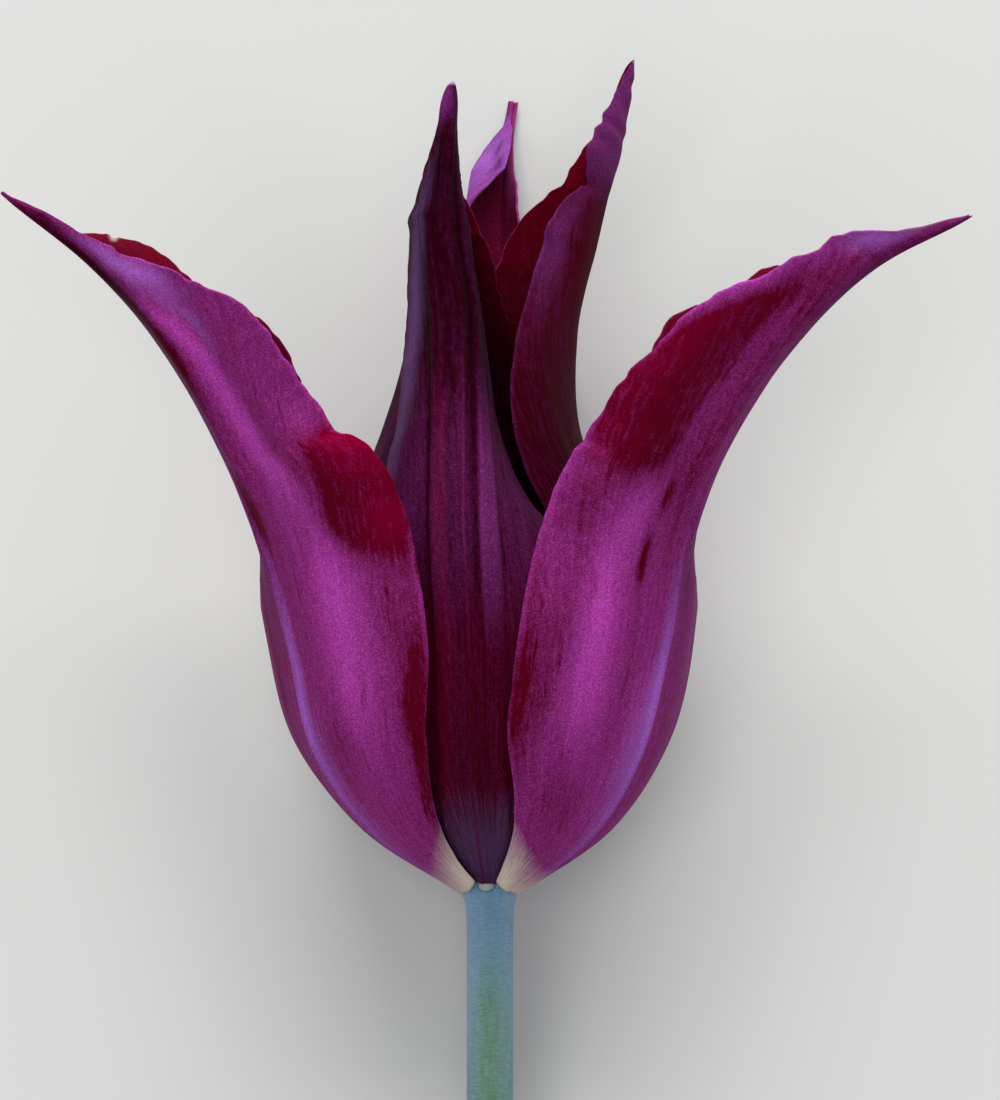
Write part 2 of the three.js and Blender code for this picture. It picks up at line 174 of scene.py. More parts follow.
def half_shares():
    """The columns' shares of a half's width: t - 0.6 sin(2 pi t) / (2 pi), which brings them closer
    together at the midrib and at the margin."""
    t = np.linspace(0, 1, HALF_COLUMNS + 1)
    return t - COLUMN_CROWDING * np.sin(2 * math.pi * t) / (2 * math.pi)


def directions(around):
    """Outwards from the flower's axis at the turn around it, and sideways from there."""
    outward = np.array([math.cos(around), math.sin(around), 0])
    return outward, np.array([-math.sin(around), math.cos(around), 0])


def petal_sheet(petal, rng):
    """The middle surface of a petal. The midrib is up * z + out * outward + side * sideways. From it
    each half runs to its margin with the angle fold * (1 - exp(-(s / 0.1)^2)) + bend * s at the share
    s of its width; adding up cos and sin of the angle gives the way across and inwards. trim, turn
    and roll are added to width, fold and bend at single places. Teeth roughen the margin, and wavy,
    which is 1 if it isn't given, makes them and the rim's waves larger or smaller."""
    u = np.linspace(0, 1, PETAL_ROWS + 1)
    outward, sideways = directions(math.radians(petal["around"]))
    out, up, side, twist = (
        along(petal.get(key, LEVEL), u)[:, None] for key in ("out", "up", "side", "twist")
    )
    midrib = up * np.array([0, 0, 1]) + out * outward + side * sideways
    tangent = unit(np.gradient(midrib, axis=0))
    level = unit(sideways - (tangent @ sideways)[:, None] * tangent)
    above = np.cross(level, tangent)
    across = np.cos(np.radians(twist)) * level + np.sin(np.radians(twist)) * above
    out_of = np.cross(across, tangent)

    share = half_shares()
    sides = []
    for sign, key in ((-1, "left"), (1, "right")):
        half = petal[key]
        width, fold, bend = (
            along(half[name], u) + between(half.get(added, UNCHANGED), u)
            for name, added in (("width", "trim"), ("fold", "turn"), ("bend", "roll"))
        )
        tooth = sum(ripples(rng, u * count, 0 * u) * high for count, high in (FINE_TEETH, COARSE_TEETH))
        tooth = petal.get("wavy", 1) * tooth * np.clip((u - TEETH_START) / TEETH_FADE_IN, 0, 1)
        width = width + tooth * np.clip(width / FULL_TEETH_WIDTH, 0, 1)
        point = np.sqrt(np.clip(1 - (np.clip(u - (1 - ROUNDED_TIP), 0, 1) / ROUNDED_TIP) ** 2, 0, 1))
        width = np.maximum(width * point, SMALLEST_HALF_WIDTH)[:, None]
        crease = 1 - hump(share, 0, FOLD_SHARE)
        angle = np.radians(fold[:, None] * crease + bend[:, None] * share)
        steps = np.diff(share)
        middle = (angle[:, 1:] + angle[:, :-1]) / 2
        nothing = np.zeros((len(u), 1))
        reach, sink = (
            (np.concatenate([nothing, np.cumsum(part(middle) * steps, 1)], 1) * width)[..., None]
            for part in (np.cos, np.sin)
        )
        points = midrib[:, None] + sign * reach * across[:, None] - sink * out_of[:, None]
        scallop = FOOT_SCALLOP * share[None] ** 4 * (1 - rise(0, SCALLOP_END, u))[:, None]
        points = points + scallop[..., None] * tangent[:, None]
        sides.append((points, share * width))
    points = np.concatenate([sides[0][0][:, :0:-1], sides[1][0]], 1)
    v = np.concatenate([-share[:0:-1], share])
    across_mm = np.concatenate([-sides[0][1][:, :0:-1], sides[1][1]], 1)
    along_mm = np.concatenate([[0], np.cumsum(np.linalg.norm(np.diff(midrib, axis=0), axis=1))])
    return points, u[:, None], v[None], across_mm, along_mm[:, None] + 0 * across_mm


def vein_places(petal, u, v):
    """Where a point lies across the veins, in millimetres. A vein keeps its share v of the width up to
    the widest row and v * (width / greatest width)^1.6 above it, so the veins end along the margin."""
    widths = [along(petal[key]["width"], u) for key in ("left", "right")]
    narrowing = [(width / np.maximum.accumulate(width)) ** VEIN_SPREAD for width in widths]
    return VEINS_ACROSS * v * np.where(v < 0, *narrowing)


def normals_of(points):
    """Outward normals of a petal's grid: the step across times the step along, at unit length."""
    return unit(np.cross(np.gradient(points, axis=1), np.gradient(points, axis=0)))


def border_of(rows, columns):
    """The grid places round the edge of rows by columns, in order."""
    bottom = [(0, j) for j in range(columns - 1)]
    right = [(i, columns - 1) for i in range(rows - 1)]
    top = [(rows - 1, j) for j in range(columns - 1, 0, -1)]
    left = [(i, 0) for i in range(rows - 1, 0, -1)]
    return np.array(bottom + right + top + left)


def mesh_object(name, vertices, faces, materials, attributes, face_slots=0, petal_mm=None):
    """A mesh object at the origin from vertices in metres and a list of faces, smooth all over. An
    attribute has one number for each vertex, and petal_mm has two, the millimetres of a petal's map."""
    mesh = bpy.data.meshes.new(name)
    mesh.from_pydata(vertices.tolist(), [], faces)
    mesh.polygons.foreach_set("material_index", np.zeros(len(faces), int) + face_slots)
    mesh.polygons.foreach_set("use_smooth", np.ones(len(faces), bool))
    for material in materials:
        mesh.materials.append(material)
    if petal_mm is not None:
        corners = np.zeros(len(mesh.loops), int)
        mesh.loops.foreach_get("vertex_index", corners)
        layer = mesh.uv_layers.new(name="petal_mm")
        layer.data.foreach_set("uv", petal_mm[corners].astype(np.float32).ravel())
    for key, values in attributes.items():
        layer = mesh.attributes.new(key, "FLOAT", "POINT")
        layer.data.foreach_set("value", values.astype(np.float32).ravel())
    mesh.update()
    piece = bpy.data.objects.new(name, mesh)
    bpy.context.scene.collection.objects.link(piece)
    return piece


def petal_piece(node, petal, materials, seed):
    """The closed sheet of a petal: its middle surface, lifted by veins, puckers, rim waves and its own
    relief, moved half a thickness out and in along the normal and joined round the edge. The thickness
    falls from the midrib to the margin with v^2, and to 0.4 of that towards the tip. It rounds off as
    a quarter circle does over the last twentieth of the width, and with the square root of the
    distance from the end over the last fiftieth of the length."""
    rng = np.random.default_rng(seed)
    points, u, v, across_mm, along_mm = petal_sheet(petal, rng)
    normal = normals_of(points)
    vein_mm = vein_places(petal, u, v)
    lift = 0
    for sideways_mm, (long, wide, high) in (
        (vein_mm, FINE_VEINS), (vein_mm, BROAD_VEINS), (across_mm, PUCKERS),
    ):
        lift = lift + ripples(rng, along_mm / long, sideways_mm / wide) * high
    rim_wave = ripples(rng, along_mm / RIM_WAVE_LENGTH, RIM_WAVES_ACROSS * v) * RIM_WAVE_HEIGHT
    rim_wave = rim_wave * petal.get("wavy", 1) * v**4 * np.clip((u - WAVES_START) / WAVES_FADE_IN, 0, 1)
    lift = lift + rim_wave + petal["relief"](across_mm, along_mm, u)
    points = points + normal * lift[..., None]
    thickness = MIDRIB_THICKNESS + (MARGIN_THICKNESS - MIDRIB_THICKNESS) * v**2
    thickness = thickness * (1 - TIP_THINNING * rise(THINNING_START, 1, u))
    past_rounding = np.clip(np.abs(v) - (1 - ROUNDED_MARGIN), 0, 1) / ROUNDED_MARGIN
    rounding = np.sqrt(np.clip(1 - past_rounding**2, THINNEST_MARGIN, 1))
    closing = np.sqrt(np.clip((1 - u) / CLOSED_TIP, THINNEST_TIP, 1))
    thickness = thickness * rounding * closing
    outer = lay_down(points + normal * thickness[..., None] / 2)
    inner = lay_down(points - normal * thickness[..., None] / 2)

    # Where the flower's weight presses the petal flat, its outer face lies on the floor.
    outer[..., 2] = np.maximum(outer[..., 2], 0)
    inner[..., 2] = np.maximum(inner[..., 2], thickness)
    rows, columns = outer.shape[:2]
    vertices = np.concatenate([outer.reshape(-1, 3), inner.reshape(-1, 3)]) * MM + PLACE
    place = np.arange(rows * columns).reshape(rows, columns)
    quads = np.stack([place[:-1, :-1], place[:-1, 1:], place[1:, 1:], place[1:, :-1]], -1).reshape(-1, 4)
    ring = place[tuple(border_of(rows, columns).T)]
    following = np.roll(ring, -1)
    rim = np.stack([ring, ring + rows * columns, following + rows * columns, following], -1)
    faces = np.concatenate([quads, quads[:, ::-1] + rows * columns, rim]).tolist()
    face_slots = np.repeat([0, 1, 0], [len(quads), len(quads), len(rim)])
    petal_mm = np.tile(np.stack([vein_mm, along_mm], -1).reshape(-1, 2), (2, 1))
    both_faces = [
        (colouring(u, v, across_mm, along_mm), petal.get(face, {}))
        for colouring, face in ((petal["colouring"], "outside"), (inside_colouring, "inside"))
    ]
    masks = {
        name: np.clip(np.stack([
            tones.get(name, 0) + spots(places.get(name, []), u, v) for tones, places in both_faces
        ]), 0, 1)
        for name in MASKS
    }
    piece = mesh_object(node + "_visual", vertices, faces, materials, masks, face_slots, petal_mm)
    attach(piece, "root")
    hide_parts(node)


def rise(low, high, value):
    """0 below low, 1 above high and 3t^2 - 2t^3 between them."""
    t = np.clip((value - low) / (high - low), 0, 1)
    return t * t * (3 - 2 * t)


def paint(hex_colour):
    """An sRGB hex value as linear red, green, blue and alpha: ((c + 0.055) / 1.055) ^ 2.4."""
    channels = [int(hex_colour[k:k + 2], 16) / 255 for k in (1, 3, 5)]
    return (*(c / 12.92 if c <= 0.04045 else ((c + 0.055) / 1.055) ** 2.4 for c in channels), 1)


def add_node(tree, kind, inputs, **settings):
    """Adds one node with its own settings. Each input is filled with a value, with a socket, or with
    the first output in use of another node."""
    made = tree.nodes.new("ShaderNode" + kind)
    for name, value in settings.items():
        setattr(made, name, value)
    for key, value in inputs.items():
        if isinstance(value, bpy.types.Node):
            value = next(socket for socket in value.outputs if socket.enabled)
        if isinstance(value, bpy.types.NodeSocket):
            tree.links.new(value, made.inputs[key])
        else:
            made.inputs[key].default_value = value
    return made


def new_material(name):
    """An empty node material and its tree."""
    material = bpy.data.materials.new(name)
    material.use_nodes = True
    material.node_tree.nodes.clear()
    return material, material.node_tree


def finish_material(material, height, strength, depth, finish):
    """Ends a material: its height pattern stands out by depth millimetres, on a shader with the
    settings of its finish."""
    tree = material.node_tree
    bump = add_node(tree, "Bump", {"Height": height, "Strength": strength, "Distance": depth * MM})
    shader = add_node(tree, "BsdfPrincipled", {**finish, "Normal": bump})
    add_node(tree, "OutputMaterial", {"Surface": shader})
    return material


# A colour Mix node's inputs are counted: 0 is the factor, 6 and 7 are the two colours. RAMP has
# the names of a Map Range node's inputs.
MIX_FACTOR, MIX_FROM, MIX_TO = 0, 6, 7
RAMP = ("Value", "From Min", "From Max", "To Min", "To Max")

MASKS = ("bloom_and_sheen", "lilac_and_sheen", "cream", "shade", "glow")
CELL_SIZE = 0.22 * MM


def petal_skin(name, flesh, glow, bloom_and_sheen, lilac_and_sheen, sparkle, cream, roughness, sheen):
    """The epidermis of a petal: satin tissue of conical cells under a waxy bloom. The cells, drawn
    three times too large so that they show, carry painted glints on their tops and painted shade in
    the hollows between them. The bloom lies in streaks along the veins, and its violet also paints
    sheen and highlights; where it is thin or rubbed off the flesh shows, and the glow tone paints light
    shining through it. The lilac tone is partly painted sheen, and the shade tone is painted shade."""
    material, tree = new_material(name)
    surface = add_node(tree, "UVMap", {}, uv_map="petal_mm")
    place = add_node(tree, "TexCoord", {}).outputs["Object"]
    masks = {key: add_node(tree, "Attribute", {}, attribute_name=key).outputs["Fac"] for key in MASKS}

    # Noise drawn out along the veins, so many millimetres wide and long.
    streaks = []
    for wide, long, detail in ((0.42, 9, 3.0), (2.4, 38, 2.0), (1.4, 10, 2.0), (0.4, 1.5, 1.0)):
        stretched = add_node(tree, "Mapping", {"Vector": surface, "Scale": (1 / wide, 1 / long, 1)})
        streaks.append(add_node(
            tree, "TexNoise", {"Vector": stretched, "Scale": 1.0, "Detail": detail, "Roughness": 0.6}
        ))
    fibres, bands, rubs, dots = streaks
    cells = add_node(
        tree, "TexNoise", {"Vector": place, "Scale": 1 / CELL_SIZE, "Detail": 1.0, "Roughness": 0.5}
    )
    # glint paints highlights on the tops of the cells and hollow paints shade in the hollows between them;
    # worn and blush are the petal's own colour.
    worn, glint, hollow, blush = (
        add_node(tree, "MapRange", dict(zip(RAMP, (pattern, *ends))), interpolation_type="SMOOTHSTEP")
        for pattern, *ends in (
            (rubs, 0.6, 0.8, 0, 1), (cells, 0.5, 0.74, 0, 0.3), (cells, 0.28, 0.5, 0.32, 0),
            (fibres, 0.4, 0.6, 0.45, 0),
        )
    )

    # Each pattern moves the bloom and its painted sheen, the lilac tone and its painted sheen, and the
    # cream up and down about its own mean of a half.
    bloom_and_sheen_cover, lilac_and_sheen_share, paleness = masks["bloom_and_sheen"], masks["lilac_and_sheen"], masks["cream"]
    for pattern, share in ((fibres, 0.4), (bands, 0.38), (dots, 0.34), (cells, 0.2), (worn, -0.35)):
        bloom_and_sheen_cover = add_node(tree, "Math", {0: pattern, 1: share, 2: bloom_and_sheen_cover}, operation="MULTIPLY_ADD")
    for pattern, share in ((fibres, 0.5), (cells, 0.1)):
        lilac_and_sheen_share = add_node(tree, "Math", {0: pattern, 1: share, 2: lilac_and_sheen_share}, operation="MULTIPLY_ADD")
    for pattern, share in ((fibres, 0.3), (dots, 0.25)):
        paleness = add_node(tree, "Math", {0: pattern, 1: share, 2: paleness}, operation="MULTIPLY_ADD")
    bloom_and_sheen_cover, lilac_and_sheen_share, paleness = (
        add_node(tree, "MapRange", {"Value": value, "From Min": low, "From Max": high})
        for value, low, high in ((bloom_and_sheen_cover, 0.66, 1.66), (lilac_and_sheen_share, 0.45, 1.3), (paleness, 0.5, 1.3))
    )
    glint = add_node(tree, "Math", {0: glint, 1: bloom_and_sheen_cover}, operation="MULTIPLY")
    foot_tone = add_node(
        tree, "Mix", {MIX_FACTOR: blush, MIX_FROM: paint(cream), MIX_TO: paint("#a87f9c")}, data_type="RGBA"
    )
    # Over the flesh the glow tone is painted light shining through the petal, and the shade tone at the end
    # is painted shade.
    colour = paint(flesh)
    for factor, tone in (
        (masks["glow"], paint(glow)), (bloom_and_sheen_cover, paint(bloom_and_sheen)), (lilac_and_sheen_share, paint(lilac_and_sheen)), (glint, paint(sparkle)),
        (hollow, paint("#20000c")), (paleness, foot_tone), (masks["shade"], paint("#12010a")),
    ):
        colour = add_node(
            tree, "Mix", {MIX_FACTOR: factor, MIX_FROM: colour, MIX_TO: tone}, data_type="RGBA"
        )
    height = add_node(tree, "Math", {0: fibres, 1: 0.8, 2: cells}, operation="MULTIPLY_ADD")
    mattness = add_node(tree, "Math", {0: cells, 1: 0.3, 2: roughness - 0.15}, operation="MULTIPLY_ADD")
    return finish_material(material, height, 0.4, 0.09, {
        "Base Color": colour, "Roughness": mattness, "IOR": 1.42,
        "Specular IOR Level": 0.03, "Specular Tint": paint("#c468dc"),
        "Sheen Weight": sheen, "Sheen Roughness": 0.35, "Sheen Tint": paint("#c860d8"),
        "Subsurface Weight": 0.05, "Subsurface Radius": (1.0, 0.15, 0.3), "Subsurface Scale": 0.6 * MM,
    })


def inside_colouring(u, v, across, up):
    """The inner faces: plain deep red, with painted light shining through towards the margin where the
    petal flares and painted shade low in the cup, a thin paler rim, and a pale foot of about 10 mm."""
    return {
        "bloom_and_sheen": 0.3 * rise(0.96, 1.0, np.abs(v)) - 0.1,
        "lilac_and_sheen": 0.5 * rise(0.98, 1.0, np.abs(v)) * rise(0.3, 0.6, u),
        "cream": 1 - rise(4, 14, up),
        "shade": 0.45 * (1 - rise(0.35, 0.75, u)) * (1 - rise(0.55, 0.95, np.abs(v))),
        "glow": (0.1 + 0.6 * rise(0.4, 0.95, np.abs(v))) * rise(0.66, 0.84, u),
    }


def cream_foot(v, up, side):
    """The pale foot of an outer petal, which fades over 13 mm. Its middle is 3 mm high at the keel
    and 9 mm high at the margin of one side."""
    return 1 - rise(-4, 9, up - 0.8 - 5.5 * np.clip(side * v, 0, 1) ** 2)


def keel_relief(toward, u, ridge):
    """The outside of an outer petal, in millimetres of height: a thin keel along the midrib, and
    where the petal flares a round ridge beside it and a hollow beyond, each of them
    height * exp(-(distance / width)^2). toward is the distance from the keel to the viewer's side."""
    flare = rise(0.5, 0.64, u) * (1 - rise(0.84, 0.97, u))
    keel = 0.4 * hump(toward, 0, 0.5) * rise(0.06, 0.2, u) * (1 - flare)
    beside = 0.9 * hump(toward, 2.4, 1.5)
    hollow = -0.8 * hump(toward, 6.2, 2.4)
    return keel + ridge * flare * (beside + hollow)


outer_skin = petal_skin(
    "petal_velvet_outside", "#560118", "#82012b", "#ae3ba0", "#9a5cb8", "#d472cc", "#cfc6ae", 0.55, 0.02
)
inner_skin = petal_skin(
    "petal_satin_inside", "#38010a", "#6c0312", "#7a1440", "#a04080", "#a04068", "#c9b890", 0.5, 0.0
)


# outside and inside hold soft spots for the masks of each face: u, v, length, width and amount.
# The left petal has bloom with a painted highlight in a bright band along the flare's ridge and
# down the near half. Crimson, partly painted light shining through, shows where the near half
# bends to the viewer and along its lower margin. Lilac, partly painted sheen, lies on the keel and
# near the tip, and painted shade darkens the keel side towards the tip.
OUTER_LEFT = {
    "around": -155,
    "out": [3.8, 14.8, 22.6, 25.8, 29.2, 35, 42.6, 51.8, 62.6],
    "up": [-0.3, 6.8, 17, 29, 40.8, 53, 64.8, 74.35, 82.3],
    "left": {
        "width": [3.2, 10.5, 17, 21, 21, 17, 12.5, 5.5, 0.8],
        "fold": [0, -2, -4, -4, 8, 55, 58, 48, 45],
        "bend": [42, 42, 46, 48, 42, 25, 15, 20, 30],
        "turn": [(0.42, 0), (0.455, 3), (0.49, 9), (0.52, 9), (0.56, 0)],
        "trim": [
            (0.58, 0), (0.6, 0.8), (0.625, 1.6), (0.65, 2.3), (0.68, 2.6), (0.7, 2.5), (0.715, 1.6),
            (0.725, 0.4), (0.74, 0.9), (0.76, 0.6), (0.78, 0.7), (0.8, 1.3), (0.82, 2.0), (0.855, 1.1),
            (0.86, 0.6), (0.864, 0.7), (0.868, 1.0), (0.875, 0.3), (0.9, -1.5), (0.92, -1.7),
            (0.95, -1.2), (1, -0.9),
        ],
    },
    "right": {
        "width": [3.7, 10.8, 18, 21.7, 21.7, 18.2, 12.7, 4.6, 0.8],
        "fold": [0, 0, 0, 0, 3, 8, 20, 35, 40],
        "bend": [42, 40, 45, 48, 48, 38, 22, 20, 30],
        "trim": [
            (0, 0), (0.02, -0.3), (0.04, -0.4), (0.08, 0.3), (0.1, 0.8), (0.14, 1.2), (0.18, 1.5),
            (0.22, 1.4), (0.26, 0.9), (0.3, 0.5), (0.45, 0.6), (0.475, 0.8), (0.5, 1.3), (0.525, 1.6),
            (0.55, 2.1), (0.575, 2.2), (0.586, 1.4), (0.596, 0.4), (0.6, -0.9), (0.604, -1.5),
            (0.61, -1.5), (0.625, -1), (0.65, -0.6), (0.675, 0), (0.725, 1.2), (0.75, 1.8),
            (0.775, 0.8), (0.8, 0), (0.825, -0.4), (0.85, -1.1), (0.9, -1.0), (0.95, -0.8),
            (0.98, -0.9), (1, -0.9),
        ],
    },
    "outside": {
        "bloom_and_sheen": [
            (0.7, 0.33, 0.1, 0.08, 0.6), (0.595, 0.4, 0.06, 0.09, 0.5), (0.78, 0.28, 0.06, 0.1, 0.3),
            (0.38, 0.5, 0.12, 0.15, 0.5), (0.47, 0.48, 0.06, 0.12, 0.25),
            (0.25, 0.62, 0.08, 0.2, 0.05), (0.568, 0.88, 0.036, 0.21, -1.4),
            (0.515, 0.75, 0.03, 0.17, -1.3), (0.495, 0.95, 0.04, 0.15, -0.4),
            (0.62, 0.82, 0.025, 0.12, 0.3), (0.6, 0.5, 0.05, 0.1, -0.15), (0.2, 1.0, 0.13, 0.12, -0.6),
            (0.4, 1.0, 0.1, 0.06, -0.15), (0.42, 0.8, 0.05, 0.1, -0.15),
            (0.31, 0.9, 0.07, 0.12, -0.35), (0.86, 0.14, 0.08, 0.18, -0.5),
            (0.96, 0.3, 0.04, 0.6, -0.3), (0.55, 0.06, 0.05, 0.045, -0.5),
            (0.4, -0.3, 0.16, 0.25, -0.2), (0.27, 0.37, 0.06, 0.1, -0.2),
            (0.76, 0.16, 0.08, 0.08, -0.45), (0.68, 0.08, 0.08, 0.07, -0.15),
            (0.12, 0.2, 0.08, 0.2, 0.1),
        ],
        "lilac_and_sheen": [
            (0.32, 0.03, 0.17, 0.05, 0.75), (0.25, 0.12, 0.1, 0.12, 0.3), (0.1, 0.0, 0.08, 0.2, 0.35),
            (0.87, 0.75, 0.06, 0.25, 0.6), (0.82, 0.65, 0.05, 0.25, 0.35),
            (0.76, 0.48, 0.05, 0.1, 0.4),
        ],
        "shade": [
            (0.8, 0.08, 0.12, 0.12, 0.4), (0.68, 0.04, 0.06, 0.1, 0.35), (0.5, -0.1, 0.08, 0.12, 0.35),
            (0.88, 0.2, 0.07, 0.25, 0.45), (0.945, 0.5, 0.03, 0.6, 0.45),
            (0.84, 0.25, 0.05, 0.15, 0.3),
        ],
        "glow": [
            (0.59, 0.95, 0.035, 0.22, 1.0), (0.62, 0.75, 0.02, 0.1, 0.4),
            (0.51, 0.9, 0.035, 0.15, 0.6),
        ],
    },
    "inside": {
        "bloom_and_sheen": [(0.8, -1, 0.3, 0.8, 0.3)], "glow": [(0.75, -1, 0.2, 0.8, 0.4)],
        "cream": [(0.862, -1, 0.006, 0.12, 1.2)],
    },
    "relief": lambda across, up, u: keel_relief(across, u, 1.0),
    "colouring": lambda u, v, across, up: {
        "bloom_and_sheen": 0.4 + 0.22 * rise(0.955, 1, v), "cream": cream_foot(v, up, 1),
    },
}

# The right petal is coloured as the left one, but its whole upper near half is crimson, with
# painted light shining through it.
OUTER_RIGHT = {
    "around": -33,
    "out": [3.8, 14.2, 21, 24.6, 27.2, 32.7, 41.2, 52.7, 66],
    "up": [-0.3, 6.8, 17, 29, 40.8, 52.6, 63.8, 73.3, 79.2],
    "left": {
        "width": [4.2, 12, 20, 21.5, 19.8, 17.5, 14.3, 5.2, 0.8],
        "fold": [0, 0, 0, 0, 3, 8, 20, 35, 40],
        "bend": [42, 44, 50, 50, 47, 38, 22, 20, 30],
        "trim": [
            (0.05, 0), (0.12, 0.8), (0.22, 0), (0.3, -0.8), (0.35, -0.4), (0.45, 0.3), (0.5, 0.7),
            (0.525, 0.8), (0.55, 1.2), (0.6, 1.2), (0.625, 0.6), (0.65, 1), (0.675, 0.6), (0.7, -0.1),
            (0.73, 0.2), (0.775, -0.3), (0.8, -0.7), (0.82, -0.5), (0.85, 0.4), (0.875, 1.0),
            (0.9, 0.5), (0.925, -0.6), (0.95, -1.0), (1, -0.7),
        ],
    },
    "right": {
        "width": [3.2, 10.5, 17, 21, 21, 17, 13, 6, 0.8],
        "fold": [0, -2, -2, 3, 14, 66, 54, 46, 45],
        "bend": [42, 42, 48, 48, 42, 25, 15, 20, 30],
        "turn": [(0.42, 0), (0.455, 3), (0.49, 10), (0.52, 10), (0.56, 0)],
        "trim": [
            (0.6, 0), (0.62, 1.4), (0.64, 2.5), (0.66, 3.7), (0.68, 5), (0.7, 4.4), (0.715, 2),
            (0.735, 3.2), (0.76, 4.4), (0.775, 3.2), (0.8, 0), (0.9, -1.4), (0.95, -1.6), (1, -0.6),
        ],
    },
    "outside": {
        "bloom_and_sheen": [
            (0.69, -0.72, 0.085, 0.3, -1.4), (0.63, -0.8, 0.035, 0.25, -0.5),
            (0.82, -0.5, 0.05, 0.25, -0.2), (0.79, -1.0, 0.09, 0.18, 0.6),
            (0.28, -0.1, 0.1, 0.12, 0.25), (0.6, -0.95, 0.05, 0.15, 0.15),
            (0.6, -0.45, 0.04, 0.15, -0.25), (0.3, -0.85, 0.06, 0.12, -0.2),
            (0.9, -0.2, 0.07, 0.3, -0.1), (0.68, -0.33, 0.08, 0.12, 0.2),
            (0.53, -0.8, 0.03, 0.12, -0.15), (0.3, -1.0, 0.13, 0.1, -0.5),
            (0.45, -1.0, 0.06, 0.06, -0.1), (0.4, -0.8, 0.05, 0.1, -0.2),
            (0.33, -0.55, 0.1, 0.13, 0.4), (0.44, -0.55, 0.09, 0.11, 0.45),
            (0.54, -0.47, 0.05, 0.12, 0.3), (0.715, -0.2, 0.1, 0.12, -0.15),
            (0.17, -0.58, 0.06, 0.2, -0.15), (0.2, -0.3, 0.07, 0.12, 0.15),
            (0.485, -0.33, 0.03, 0.03, -0.6), (0.56, -0.3, 0.02, 0.035, -0.45),
            (0.585, -0.2, 0.06, 0.08, -0.2),
        ],
        "lilac_and_sheen": [
            (0.32, -0.03, 0.17, 0.05, 0.75), (0.25, -0.12, 0.1, 0.12, 0.45),
            (0.1, 0.0, 0.08, 0.2, 0.35), (0.91, -0.75, 0.04, 0.35, 0.7),
            (0.43, -0.55, 0.08, 0.07, 0.2),
        ],
        "cream": [(0.95, -1.0, 0.035, 0.3, 0.5)],
        "shade": [
            (0.88, 0.0, 0.12, 0.2, 0.5), (0.5, 0.1, 0.08, 0.12, 0.35), (0.97, -0.2, 0.05, 0.5, 0.4),
            (0.7, -0.65, 0.06, 0.15, 0.2),
        ],
        "glow": [(0.72, -1.0, 0.09, 0.5, 0.8), (0.59, -0.9, 0.04, 0.2, 0.4)],
    },
    "inside": {"bloom_and_sheen": [(0.8, 1, 0.3, 0.8, 0.25)], "glow": [(0.75, 1, 0.2, 0.8, 0.4)]},
    "relief": lambda across, up, u: keel_relief(-across, u, 0.7),
    "colouring": lambda u, v, across, up: {
        "bloom_and_sheen": 0.4 + 0.25 * rise(0.95, 1, -v), "cream": cream_foot(v, up, -1),
    },
}

# The petal below the flower has an even bloom, and is lilac on its keel and on its rolled tip, there
# partly painted sheen, with painted shade in the roll's hollow and painted light shining through
# its margins.
OUTER_UNDER = {
    "around": 88,
    "out": [3.8, 14.5, 22, 25.6, BULGE_OUT, 29.6, 31.8, 34.2, 36.5],
    "up": [-0.3, 6.8, 17, 29, BULGE_UP, 55, 69, 83, 96.5],
    "side": [0, 0, 0, 0, 0, 0, -0.3, 0.1, -1.4],
    "left": {
        "width": [3.2, 10.5, 17.5, 21, 20, 15, 9.5, 3.8, 0.6],
        "fold": [0, 0, 0, 0, 4, 30, 40, 45, 45],
        "bend": [42, 40, 46, 48, 46, 42, 25, 20, 30],
        "trim": [(0.86, 0), (0.88, 0.3), (0.9, 0), (0.915, -0.5), (0.93, -0.7), (0.96, -0.8), (1, -0.3)],
    },
    "right": {
        "width": [3.2, 10.5, 17.5, 21, 20, 15, 10.5, 9.5, 0.6],
        "fold": [0, 0, 0, 0, 4, 30, 40, 35, 30],
        "bend": [42, 40, 46, 48, 46, 42, 45, 50, 100],
        "trim": [
            (0.846, 0), (0.866, -1.6), (0.886, 1.8), (0.908, 3.8), (0.93, 2.6), (0.955, 0.5),
            (0.98, -2), (1, -0.4),
        ],
        "turn": [(0.841, 0), (0.866, -35), (1, -30)],
        "roll": [(0.846, 0), (0.866, 71), (0.886, 109), (0.908, 131), (0.955, 128), (0.98, 160)],
    },
    "outside": {
        "bloom_and_sheen": [
            (0.25, -1.0, 0.2, 0.13, -0.4), (0.25, 1.0, 0.2, 0.13, -0.4), (0.45, 0.5, 0.12, 0.15, 0.3),
            (0.4, -0.5, 0.12, 0.15, 0.3), (0.95, 0.4, 0.06, 0.8, -0.2),
        ],
        "lilac_and_sheen": [(0.3, 0.0, 0.25, 0.05, 0.7), (0.92, 0.6, 0.07, 0.8, 0.85)],
        "shade": [
            (0.932, 0.84, 0.013, 0.035, 0.5), (0.912, 0.92, 0.013, 0.05, 0.65),
            (0.95, 0.5, 0.03, 0.6, 0.3),
        ],
        "glow": [(0.75, 1.0, 0.1, 0.3, 0.5), (0.75, -1.0, 0.1, 0.3, 0.5)],
    },
    "inside": {
        "bloom_and_sheen": [(0.85, 0, 0.07, 2, 0.7)], "glow": [(0.8, 0, 0.3, 2, 0.2)],
        "lilac_and_sheen": [(0.97, 0, 0.05, 2, 0.9), (0.9, -0.8, 0.04, 0.5, 0.5)],
    },
    "relief": lambda across, up, u: keel_relief(across, u, 0.0),
    "colouring": lambda u, v, across, up: {"bloom_and_sheen": 0.5, "cream": cream_foot(v, up, 1)},
}


